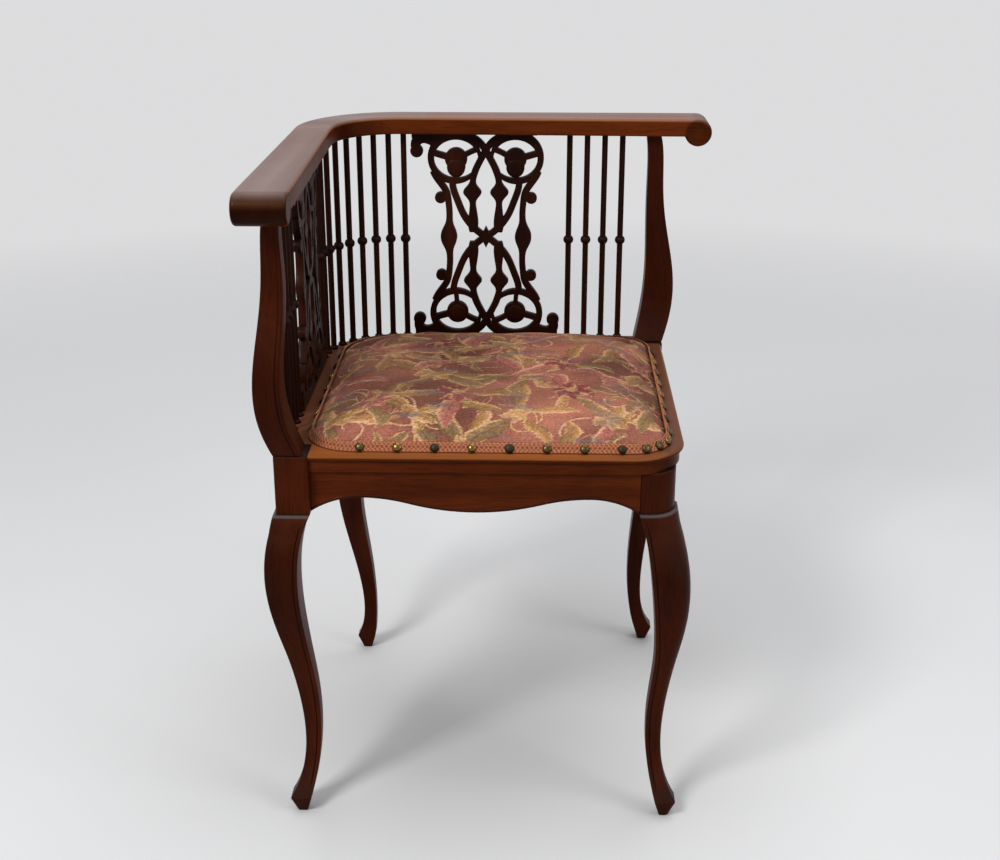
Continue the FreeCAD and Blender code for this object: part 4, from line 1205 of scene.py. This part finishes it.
class Tapestry:
    """Paints scattered leaves, fanned flowers and curls on flat cloth places, in millimetres."""

    LEAVES = (Yarns(Hue.STRAW, Hue.MUSTARD, Hue.CREAM), Yarns(Hue.GOLD, Hue.OLIVE, Hue.STRAW),
              Yarns(Hue.PINK, Hue.MAUVE, Hue.CREAM), Yarns(Hue.SAGE, Hue.OLIVE, Hue.STRAW))
    PETALS = (Yarns(Hue.STRAW, Hue.MUSTARD, Hue.CREAM), Yarns(Hue.PINK, Hue.MAUVE, Hue.CREAM),
              Yarns(Hue.STRAW, Hue.GOLD, Hue.CREAM), Yarns(Hue.MAUVE, Hue.PLUM, Hue.STRAW))
    CURLS = (Hue.CREAM, Hue.STRAW, Hue.SAGE, Hue.PINK)
    DRIFT_WAVES = 11
    ROWS = range(-215, 235, 62)
    COLUMNS = range(-240, 250, 110)
    STAGGER = 55.0
    JITTER = 18.0
    CURLS_PER_SPOT = 4
    CURL_STEPS = 70
    CURL_SPREAD = 30.0
    CURL_LENGTHS = (60.0, 110.0)
    STEM_HALF_WIDTH = 1.15
    STEM_SHADE = 2.2
    LEAF_FOOT = 16.0
    LEAF_LENGTHS = (38.0, 74.0)
    LEAF_WIDTHS = (0.13, 0.21)
    FLOWER_SIZES = (20.0, 34.0)

    def __init__(self, places: np.ndarray, seed: int) -> None:
        """Lay down the mottled ground.

        Args:
            places: Flat x and y of each point.
            seed: The seed of every random choice.
        """
        self.rng = np.random.default_rng(seed)
        self.places = places
        ragged = self.drift((5.0, 1.1)) + 0.6 * self.drift((2.5, 0.9))
        self.streak = self.drift((26.0, 2.2))
        self.fade = self.drift((90.0, 60.0))
        self.even = places
        self.places = places + np.column_stack([2.6 * (ragged - 0.8), 0.8 * (self.streak - 0.5)])
        mottle = np.clip(0.8 * self.fade + 0.08 * self.streak + 0.06, 0.0, 1.0)[:, None]
        self.colours = Hue.BROWN.rgb() + (Hue.ROSE.rgb() - Hue.BROWN.rgb()) * np.clip(2.0 * mottle, 0.0, 1.0)
        self.colours += (Hue.SALMON.rgb() - Hue.ROSE.rgb()) * np.clip(2.0 * mottle - 1.0, 0.0, 1.0)

    def drift(self, size: Pair) -> np.ndarray:
        """Return a smooth random field.

        Args:
            size: How wide its patches are in x and y.

        Returns:
            A value from 0 to 1 for each place.
        """
        total = np.zeros(len(self.places))
        scaled = self.places / np.array(size)
        for _ in range(self.DRIFT_WAVES):
            angle, phase = self.rng.uniform(0.0, TURN, 2)
            wave = self.rng.uniform(0.5, 1.5) * math.pi
            total += np.sin(wave * (scaled @ heading(angle)) + phase)
        return np.clip(0.5 + total / 9.0, 0.0, 1.0)

    def paint(self, rows: np.ndarray, colour: np.ndarray, cover: np.ndarray | float = 1.0) -> None:
        """Lay a colour over some of the places."""
        share = np.broadcast_to(np.asarray(cover, dtype=float), (len(rows),))[:, None]
        self.colours[rows] = (1.0 - share) * self.colours[rows] + share * colour

    def near(self, spot: np.ndarray, reach: float) -> np.ndarray:
        """List the places within reach of a spot."""
        return np.flatnonzero(((self.places - spot) ** 2).sum(axis=1) < reach * reach)

    def leaf(self, spot: np.ndarray, angle: float, length: float, width: float, yarns: Yarns) -> None:
        """Paint a curved leaf or petal, shaded across and outlined on one side.

        Args:
            spot: The foot of the leaf.
            angle: Its direction in radians.
            length: Its length.
            width: Half its width.
            yarns: Its colours.
        """
        rows = self.near(spot, 1.3 * length)
        way = heading(angle)
        local = self.places[rows] - spot
        along = local @ way / length
        bend = self.rng.uniform(-0.3, 0.3) * length
        across = local @ [-way[1], way[0]] - bend * np.sin(0.8 * math.pi * np.clip(along, 0.0, 1.0)) ** 2
        wavy = 1.0 + 0.1 * np.sin(TURN * (2.5 * along + 0.25 * np.sign(across)))
        half = width * np.sin(math.pi * np.clip(along, 0.0, 1.0) ** 0.8) ** 0.75 * wavy
        inside = (along > 0.02) & (along < 0.98) & (np.abs(across) < half)
        rows, along, across, half = rows[inside], along[inside], across[inside], half[inside]
        rim = across / np.maximum(half, 0.1)
        light, dark, line = yarns.light.rgb(), yarns.dark.rgb(), yarns.line.rgb()
        shade = np.clip(0.45 + 0.6 * rim - 0.35 * along + 0.5 * (self.streak[rows] - 0.5), 0.0, 1.0)
        self.paint(rows, light + (dark - light) * shade[:, None], 0.8)
        veins = np.sin(TURN * (5.0 * along - 0.9 * np.abs(rim))) > 0.72
        self.paint(rows[veins & (rim > -0.6)], dark, 0.45)
        self.paint(rows[np.abs(rim) < 0.09], dark * 0.85, 0.6)
        self.paint(rows[(rim < -0.7) | ((rim > 0.84) & (along > 0.55))], line, 0.85)
        self.paint(rows[(rim > 0.84) & (along < 0.55)], dark * 0.8, 0.6)

    def flower(self, spot: np.ndarray, size: float, yarns: Yarns) -> None:
        """Paint a fan of petals with a seed head at its foot.

        Args:
            spot: The foot of the fan.
            size: The petals' length.
            yarns: Its colours.
        """
        facing = self.rng.uniform(0.0, TURN)
        spread = self.rng.uniform(2.2, 5.2)
        count = int(self.rng.integers(5, 8))
        for step in self.rng.permutation(count):
            angle = facing + spread * (step / (count - 1) - 0.5)
            length = size * self.rng.uniform(0.85, 1.1)
            self.leaf(spot, angle, length, 0.3 * length, yarns)
        rows = self.near(spot, 0.24 * size)
        self.paint(rows, Hue.STRAW.rgb(), 0.9)
        self.paint(rows[self.streak[rows] > 0.55], Hue.OLIVE.rgb(), 0.7)

    def curl(self, spot: np.ndarray, angle: float, length: float, hue: Hue) -> None:
        """Paint a stem that ends in a curl.

        Args:
            spot: The foot of the stem.
            angle: Its first direction in radians.
            length: Its length.
            hue: Its colour.
        """
        steps = self.CURL_STEPS
        sense = self.rng.choice([-1.0, 1.0])
        turn = np.cumsum(sense * np.linspace(0.005, 0.2, steps) ** 1.2)
        way = np.column_stack([np.cos(angle + turn), np.sin(angle + turn)])
        line = spot + np.cumsum(way, axis=0) * length / steps
        rows = self.near(line.mean(axis=0), length)
        gaps = np.min([((self.even[rows] - p) ** 2).sum(axis=1) for p in line], axis=0)
        self.paint(rows[gaps < self.STEM_SHADE ** 2], Hue.BROWN.rgb(), 0.4)
        self.paint(rows[gaps < self.STEM_HALF_WIDTH ** 2], hue.rgb(), 0.85)

    def scatter(self) -> np.ndarray:
        """Lay out the pattern, darken it towards the back as painted shade, and return the linear colours."""
        spots = [np.array([x + (row % 2) * self.STAGGER, y], dtype=float)
                 for row, y in enumerate(self.ROWS) for x in self.COLUMNS]
        spots = [spot + self.rng.uniform(-self.JITTER, self.JITTER, 2) for spot in spots]
        for spot in spots:
            for _ in range(self.CURLS_PER_SPOT):
                foot = spot + self.rng.uniform(-self.CURL_SPREAD, self.CURL_SPREAD, 2)
                angle, length = self.rng.uniform(0.0, 6.3), self.rng.uniform(*self.CURL_LENGTHS)
                self.curl(foot, angle, length, self.rng.choice(self.CURLS))
        for spot in spots:
            first = self.rng.uniform(0.0, TURN)
            count = int(self.rng.integers(3, 6))
            for turn in range(count):
                angle = first + TURN * turn / count + self.rng.uniform(-0.4, 0.4)
                foot = spot + self.LEAF_FOOT * heading(angle)
                length = self.rng.uniform(*self.LEAF_LENGTHS)
                width = length * self.rng.uniform(*self.LEAF_WIDTHS)
                self.leaf(foot, angle, length, width, self.LEAVES[self.rng.integers(len(self.LEAVES))])
            size = self.rng.uniform(*self.FLOWER_SIZES)
            self.flower(spot, size, self.PETALS[self.rng.integers(len(self.PETALS))])
        cold = smoothstep(self.drift((30.0, 14.0)), 0.72, 0.9)
        self.paint(np.arange(len(cold)), Hue.SLATE.rgb(), 0.5 * cold)
        # Painted shade: the seat darkens towards the back, on top of the random streaks and mottle.
        back_shade = smoothstep(self.even[:, 1], -185.0, -60.0)
        light = (0.96 + 0.08 * self.streak) * (0.94 + 0.12 * self.fade) * (1.05 - 0.17 * back_shade)
        worn = self.colours * light[:, None]
        return linear(np.clip(worn, 0.0, 1.0))


@dataclass
class SeatPad:
    """The stuffed seat: pressed out as cloth, pulled down at its nails, and covered in tapestry."""

    nails: list[tuple[Vector, Vector]]
    voxel: float = 5.5 * MM
    pressure: float = 4.0
    frames: int = 20
    most: float = 3.5 * MM
    edge: float = 10.0 * MM
    lump: float = 1.1 * MM
    pull: float = 1.6 * MM
    pull_reach: float = 9.0 * MM
    lump_waves: int = 10
    lump_lengths: Pair = (0.05, 0.13)
    nail_depth: float = 2.5 * MM
    drape_start: float = 8.0 * MM
    drape_share: float = 0.7
    tension: float = 12.0
    bending: float = 0.4
    age: Colour = (0.93, 0.79, 0.76)
    seed: int = 5

    def build(self, material: bpy.types.Material) -> bpy.types.Object:
        """Press out the pad, shape it and paint it."""
        mesh = self.pressed()
        points = self.shaped(coords_of(mesh))
        mesh.vertices.foreach_set("co", points.ravel())
        mesh.update()
        low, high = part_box("seat_pad")
        middle = np.array([(low.x + high.x) / 2, (low.y + high.y) / 2])
        flat = points[:, :2] - middle
        drop = np.maximum(0.0, high.z - self.drape_start - points[:, 2])[:, None]
        away = np.maximum(np.linalg.norm(flat, axis=1, keepdims=True), MM)
        flat = flat + drop * self.drape_share * flat / away
        colours = Tapestry(flat / MM, self.seed).scatter() * np.array(self.age)
        rgba = np.column_stack([colours, np.ones(len(colours))]).astype(np.float32)
        mesh.attributes.new("motif", "FLOAT_COLOR", "POINT").data.foreach_set("color", rgba.ravel())
        mesh.shade_smooth()
        piece = make_piece(mesh, material)
        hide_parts("seat_pad")
        return piece

    def pressed(self) -> bpy.types.Mesh:
        """Inflate a copy of the pad as cloth and refine it.

        Returns:
            The refined mesh.
        """
        work = add_object("pad_work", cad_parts["seat_pad"].data.copy())
        remesh = work.modifiers.new("even", "REMESH")
        remesh.mode = "VOXEL"
        remesh.voxel_size = self.voxel
        work.data = self.evaluated(work)
        work.modifiers.clear()
        self.inflate(work)
        refine = work.modifiers.new("refine", "SUBSURF")
        refine.levels = 2
        done = self.evaluated(work)
        done.name = "seat_cushion"
        bpy.data.objects.remove(work)
        return done

    def inflate(self, work: bpy.types.Object) -> None:
        """Run the cloth under pressure and keep its capped movement."""
        start = coords_of(work.data)
        held = np.flatnonzero(start[:, 2] < start[:, 2].min() + self.edge * 0.7)
        work.vertex_groups.new(name="pins").add(held.tolist(), 1.0, "ADD")
        cloth = work.modifiers.new("cover", "CLOTH")
        settings = cloth.settings
        settings.use_pressure = True
        settings.uniform_pressure_force = self.pressure
        settings.effector_weights.gravity = 0.0
        settings.vertex_group_mass = "pins"
        settings.tension_stiffness = self.tension
        settings.bending_stiffness = self.bending
        cloth.point_cache.frame_end = self.frames
        for number in range(1, self.frames + 1):
            bpy.context.scene.frame_set(number)
        shift = coords_of(self.evaluated(work)) - start
        far = np.linalg.norm(shift, axis=1, keepdims=True)
        LOG.info("cloth moved up to %.1f mm", far.max() / MM)
        shift *= np.minimum(1.0, self.most / np.maximum(far, 1e-9))
        bpy.context.scene.frame_set(1)
        work.modifiers.clear()
        work.data.vertices.foreach_set("co", (start + shift).ravel())
        work.data.update()

    def evaluated(self, work: bpy.types.Object) -> bpy.types.Mesh:
        """Return a mesh with the object's modifiers applied."""
        graph = bpy.context.evaluated_depsgraph_get()
        graph.update()
        return bpy.data.meshes.new_from_object(work.evaluated_get(graph))

    def shaped(self, points: np.ndarray) -> np.ndarray:
        """Add gentle lumps and pull the cover in at each nail.

        Args:
            points: The pad's points.

        Returns:
            The shaped points.
        """
        rng = np.random.default_rng(self.seed)
        low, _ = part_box("seat_pad")
        above = smoothstep(points[:, 2] - low.z, 0.8 * self.edge, 2.2 * self.edge)
        lumps = np.zeros(len(points))
        for _ in range(self.lump_waves):
            angle, phase = rng.uniform(0.0, TURN, 2)
            wave = TURN / rng.uniform(*self.lump_lengths)
            along = points[:, :2] @ heading(angle)
            lumps += np.sin(wave * along + phase) / self.lump_waves
        points[:, 2] += 2.0 * self.lump * lumps * above
        for top, axis in self.nails:
            spot = np.array(top - axis * self.nail_depth)
            near = np.exp(-(((points - spot) ** 2).sum(axis=1)) / self.pull_reach ** 2)
            points -= self.pull * near[:, None] * np.array(axis)
        return points


@dataclass
class Webbing:
    """Interlaced straps under the seat."""

    straps: int = 4
    width: float = 46.0 * MM
    pitch: float = 70.0 * MM
    weave: float = 0.55 * MM
    thickness: float = 1.0 * MM
    step: float = 4.0 * MM
    columns: int = 9

    def build(self, material: bpy.types.Material) -> list[bpy.types.Object]:
        """Weave both sets of straps."""
        nodes = ("seat_webbing_across", "seat_webbing_along")
        return [self.build_set(node, axis, material) for axis, node in enumerate(nodes)]

    def build_set(self, node: str, axis: int, material: bpy.types.Material) -> bpy.types.Object:
        """Weave the straps that run along one axis.

        Args:
            node: The CAD node they stand for.
            axis: The axis they run along, 0 or 1.
            material: The finish.

        Returns:
            The piece.
        """
        low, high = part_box(node)
        other_low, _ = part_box("seat_webbing_along" if axis == 0 else "seat_webbing_across")
        run = np.arange(low[axis], high[axis] + self.step / 2, self.step)
        level = (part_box("seat_webbing_across")[0].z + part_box("seat_webbing_along")[1].z) / 2
        points, faces = [], []
        for strap in range(self.straps):
            centre = low[1 - axis] + self.width / 2 + strap * self.pitch
            crossing = (run - other_low[axis] - self.width / 2) / self.pitch
            sign = (-1.0) ** (strap + axis)
            lift = level + self.weave * sign * np.cos(math.pi * crossing)
            start = len(points)
            for place, height in zip(run, lift):
                for column in range(self.columns):
                    across = centre + self.width * (column / (self.columns - 1) - 0.5)
                    spot = (place, across, height) if axis == 0 else (across, place, height)
                    points.append(spot)
            skin = skin_faces(len(run), self.columns, closed=False)
            faces += [tuple(start + n for n in face) for face in skin]
        mesh = make_mesh(node + "_woven", np.array(points), faces)
        piece = make_piece(mesh, material)
        thicken(piece, self.thickness)
        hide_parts(node)
        return piece


@dataclass
class Hessian:
    """The coarse sheet between the webbing and the stuffing."""

    rings: int = 26
    sag: float = 0.15 * MM
    thickness: float = 0.4 * MM

    def build(self, material: bpy.types.Material) -> bpy.types.Object:
        """Stretch the sheet over the frame's rebate."""
        low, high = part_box("seat_hessian")
        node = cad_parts["seat_hessian"]
        rim = self.rim(world_points(node))
        middle = np.array([(low.x + high.x) / 2, (low.y + high.y) / 2])
        points, level = [], (low.z + high.z) / 2
        for ring in range(self.rings):
            share = 1.0 - ring / self.rings
            flat = middle + (rim - middle) * share
            dip = self.sag * (1.0 - share ** 2)
            points.append(np.column_stack([flat, np.full(len(flat), level - dip)]))
        faces = skin_faces(self.rings, len(rim))
        faces.append(tuple(range((self.rings - 1) * len(rim), self.rings * len(rim))))
        mesh = make_mesh("seat_hessian_sheet", np.concatenate(points), faces)
        piece = make_piece(mesh, material)
        thicken(piece, self.thickness)
        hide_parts("seat_hessian")
        return piece

    def rim(self, points: np.ndarray) -> np.ndarray:
        """Order the node's outline by angle.

        Args:
            points: The node's points.

        Returns:
            The outline's x and y, each once.
        """
        flat = np.unique(np.round(points[:, :2], 6), axis=0)
        away = flat - flat.mean(axis=0)
        return flat[np.argsort(np.arctan2(away[:, 1], away[:, 0]))]


class Joinery:
    """Dresses the CAD nodes that stay in view."""

    BOARDS = (
        Board("mahogany_arm_left", Grain.Y, ARM_DUST_AND_SHEEN, 0.3, ("arm_rail_left",), scrolled=True),
        Board("mahogany_arm_corner", Grain.X, ARM_DUST_AND_SHEEN, 0.75, ("arm_rail_corner",)),
        Board("mahogany_arm_back", Grain.X, BACK_DUST_AND_SHEEN, 0.3, ("arm_rail_back",), scrolled=True),
        Board("mahogany_nosing", Grain.X, NOSING_DUST_AND_SHEEN, 0.3, ("seat_frame_front",), side_dust_and_sheen=FRAME_DUST_AND_SHEEN),
        Board("mahogany_frame_x", Grain.X, FRAME_DUST_AND_SHEEN, 0.65,
              ("apron_front", "apron_back", "seat_frame_back", "seat_frame_corner")),
        Board("mahogany_frame_y", Grain.Y, FRAME_DUST_AND_SHEEN, 0.65,
              ("apron_right", "apron_left", "seat_frame_left", "seat_frame_right")),
        Board("stained_tongue", Grain.X, FRAME_DUST_AND_SHEEN, 0.3, ("seat_frame_dowels",)),
    )

    def dress(self) -> None:
        """Give every wooden and steel node its finish."""
        deep = WoodFinish("mahogany_deep", *DEEP, Grain.Z, dust_and_sheen_share=0.2).build()
        beech = WoodFinish("beech", srgb(150, 112, 72), srgb(186, 146, 100), srgb(206, 170, 124), Grain.Y,
                           coat=0.0, roughness=(0.6, 0.8)).build()
        steel = MetalFinish("screw_steel", srgb(150, 148, 142), srgb(80, 72, 62)).build()
        for board in self.BOARDS:
            wood = board.finish()
            for name in board.nodes:
                self.give(name, wood)
        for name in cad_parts:
            if name.startswith("spindle_"):
                self.give(name, deep)
            elif name.startswith("corner_block_screws"):
                self.give(name, steel)
            elif name.startswith("corner_block_") or name in ("rail_dowels", "back_leg_dowels"):
                self.give(name, beech)

    def give(self, name: str, material: bpy.types.Material) -> None:
        """Put a material on a node."""
        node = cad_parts[name]
        node.data.materials.clear()
        node.data.materials.append(material)
        LOG.info("dressed %s", name)


@dataclass
class Aprons:
    """The beads along the aprons' lower edges."""

    step: float = 2.0 * MM
    block_level: float = 400.0 * MM
    corner_turn: float = 30.0
    corner_radius: float = 94.0 * MM
    corner_start: float = 2.0
    corner_steps: int = 20

    def build(self, material: bpy.types.Material) -> list[bpy.types.Object]:
        """Run a bead along each apron."""
        blocks = {corner: SliceReader(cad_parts["leg_" + corner.name.lower()]).at(self.block_level)
                  for corner in Corner}
        front_y, right_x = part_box("apron_front")[0].y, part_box("apron_right")[1].x
        left_x, back_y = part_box("apron_left")[0].x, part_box("apron_back")[1].y
        front = self.walk(blocks[Corner.FRONT_LEFT][:, 0].max(), blocks[Corner.FRONT_RIGHT][:, 0].min())
        right = self.walk(blocks[Corner.FRONT_RIGHT][:, 1].max(), blocks[Corner.BACK_RIGHT][:, 1].min())
        left = self.walk(blocks[Corner.FRONT_LEFT][:, 1].max(), back_y - self.corner_radius)
        back = self.walk(blocks[Corner.BACK_RIGHT][:, 0].min(), left_x + self.corner_radius)
        centre = (left_x + self.corner_radius, back_y - self.corner_radius)
        beads = [ApronBead("apron_front", [(x, front_y) for x in front], [(0.0, -1.0)] * len(front)),
                 ApronBead("apron_right", [(right_x, y) for y in right], [(1.0, 0.0)] * len(right)),
                 self.cornered("apron_left", [(left_x, y) for y in left], (-1.0, 0.0), centre, 180.0, -1.0),
                 self.cornered("apron_back", [(x, back_y) for x in back], (0.0, 1.0), centre, 90.0, 1.0)]
        return [bead.build(material) for bead in beads]

    def walk(self, start: float, end: float) -> np.ndarray:
        """Space places evenly from start to end."""
        return np.linspace(start, end, max(2, int(abs(end - start) / self.step)))

    def cornered(self, node: str, points: list[Pair], way: Pair,
                 centre: Pair, start: float, sense: float) -> ApronBead:
        """Run a bead on round the curved corner.

        Args:
            node: The apron's node.
            points: The straight part.
            way: The straight part's outward direction.
            centre: The corner's centre.
            start: The angle where the curve starts, in degrees.
            sense: The sign of the turn.

        Returns:
            The bead.
        """
        outward = [way] * len(points)
        for turn in np.linspace(self.corner_start, self.corner_turn, self.corner_steps):
            out = heading(math.radians(start + sense * turn))
            outward.append(out)
            points.append(np.array(centre) + self.corner_radius * out)
        return ApronBead(node, points, outward)


@dataclass(frozen=True)
class Lamp:
    """A soft square light that looks at the chair."""

    name: str
    place: Triple
    size: float
    power: float

    def hang(self, aim: Triple) -> None:
        """Add the light and turn it to a point."""
        data = bpy.data.lights.new(self.name, "AREA")
        data.energy = self.power
        data.size = self.size
        lamp = add_object(self.name, data)
        lamp.location = self.place
        lamp.rotation_euler = (Vector(aim) - lamp.location).to_track_quat("-Z", "Y").to_euler()


@dataclass
class Studio:
    """A plain pale floor, soft light and the camera at the photo's angle."""

    eye: Triple = (0.04135, -1.62255, 1.0206)
    pitch: float = 21.15
    yaw: float = 1.22
    roll: float = -0.13
    lens: float = 53.38
    shift: Pair = (-0.0087, 0.0018)
    floor_reach: float = 3.0
    floor_drop: float = 0.2 * MM
    aim: Triple = (0.0, 0.0, 0.4)
    room_light: Colour = (0.92, 0.95, 1.0)
    room_strength: float = 0.28
    backdrop: Colour = (0.72, 0.72, 0.73)
    sensor: float = 36.0

    LAMPS = (Lamp("key", (-1.5, -2.0, 2.6), 0.9, 54.0), Lamp("fill", (2.2, -1.2, 1.9), 1.2, 16.0),
             Lamp("top", (0.1, 0.4, 2.9), 2.4, 40.0))

    def build(self) -> None:
        """Set up the floor, the lights, the world and the camera."""
        self.floor()
        for lamp in self.LAMPS:
            lamp.hang(self.aim)
        self.world()
        self.camera()
        bpy.context.scene.view_settings.view_transform = "Standard"

    def floor(self) -> None:
        """Lay a round floor that fades into the background on all sides."""
        turn = np.radians(np.arange(0.0, 360.0, 5.0))
        rim = self.floor_reach * np.column_stack([np.cos(turn), np.sin(turn)])
        points = np.column_stack([rim, np.full(len(rim), -self.floor_drop)])
        mesh = make_mesh("floor", points, [tuple(range(len(rim)))])
        mesh.materials.append(PlainFinish("pale_floor", grey(0.8), self.floor_reach).build())
        floor = add_object("floor", mesh)

    def world(self) -> None:
        """Fill the room with even pale light."""
        world = bpy.data.worlds.new("room")
        sheet = NodeSheet(world)
        room = sheet.nodes["Background"]
        sheet.put(room.inputs["Color"], opaque(self.room_light))
        sheet.put(room.inputs["Strength"], self.room_strength)
        seen = sheet.add("Background", {"Color": opaque(self.backdrop)})
        rays = sheet.add("LightPath")
        pale = rays.outputs["Is Camera Ray"]
        for kind in ("Is Glossy Ray", "Is Transmission Ray"):
            pale = sheet.add("Math", {0: pale, 1: rays.outputs[kind]}, operation="MAXIMUM").outputs[0]
        mix = sheet.add("MixShader", {0: pale, 1: room.outputs[0], 2: seen.outputs[0]})
        sheet.put(sheet.nodes["World Output"].inputs["Surface"], mix.outputs[0])
        bpy.context.scene.world = world

    def camera(self) -> None:
        """Place the camera."""
        data = bpy.data.cameras.new("camera")
        data.lens = self.lens
        data.sensor_width = self.sensor
        data.sensor_fit = "HORIZONTAL"
        data.shift_x, data.shift_y = self.shift
        camera = add_object("camera", data)
        camera.location = self.eye
        camera.rotation_euler = Euler([math.radians(a) for a in (90.0 - self.pitch, self.roll, self.yaw)])
        bpy.context.scene.camera = camera


def build_uprights() -> None:
    """Build the legs, the posts, the splats and the apron beads."""
    upright = WoodFinish("mahogany_upright", *RED, Grain.Z, dust_and_sheen_share=0.3).build()
    for corner in Corner:
        Leg("leg_" + corner.name.lower(), corner).build(upright)
    Post("arm_post_left", Corner.FRONT_LEFT).build(upright)
    Post("arm_post_right", Corner.BACK_RIGHT).build(upright)
    deep = WoodFinish("mahogany_splat", *DEEP, Grain.Z, dust_and_sheen_share=0.2).build()
    Splat("splat_back", 1, -SPLAT_SHIFT).build(deep)
    Splat("splat_left", 0, SPLAT_SHIFT).build(deep)
    Aprons().build(WoodFinish("mahogany_bead", *RED, Grain.X, dust_and_sheen_share=0.2).build())


def build_seat() -> None:
    """Build the pad, the braid, the nails and the cloths under the seat."""
    outline = SeatOutline()
    nails = Nails(outline)
    SeatPad(nails.heads()).build(TapestryFinish().build())
    braid = ThreadFinish("braid", srgb(106, 54, 35), srgb(218, 140, 101), 260.0, "thread")
    Gimp(outline).build(braid.build())
    nails.build(MetalFinish("nail_brass", srgb(118, 98, 54), srgb(52, 47, 34)).build())
    Webbing().build(ThreadFinish("webbing", srgb(120, 98, 70), srgb(188, 164, 126), 160.0).build())
    Hessian().build(ThreadFinish("hessian", srgb(112, 90, 58), srgb(176, 148, 104), 120.0).build())


def main() -> None:
    """Build the scene in order."""
    bpy.context.view_layer.update()
    Studio().build()
    Joinery().dress()
    build_uprights()
    build_seat()


if __name__ == "__main__":
    logging.basicConfig(level=logging.INFO, format="%(message)s")
    main()
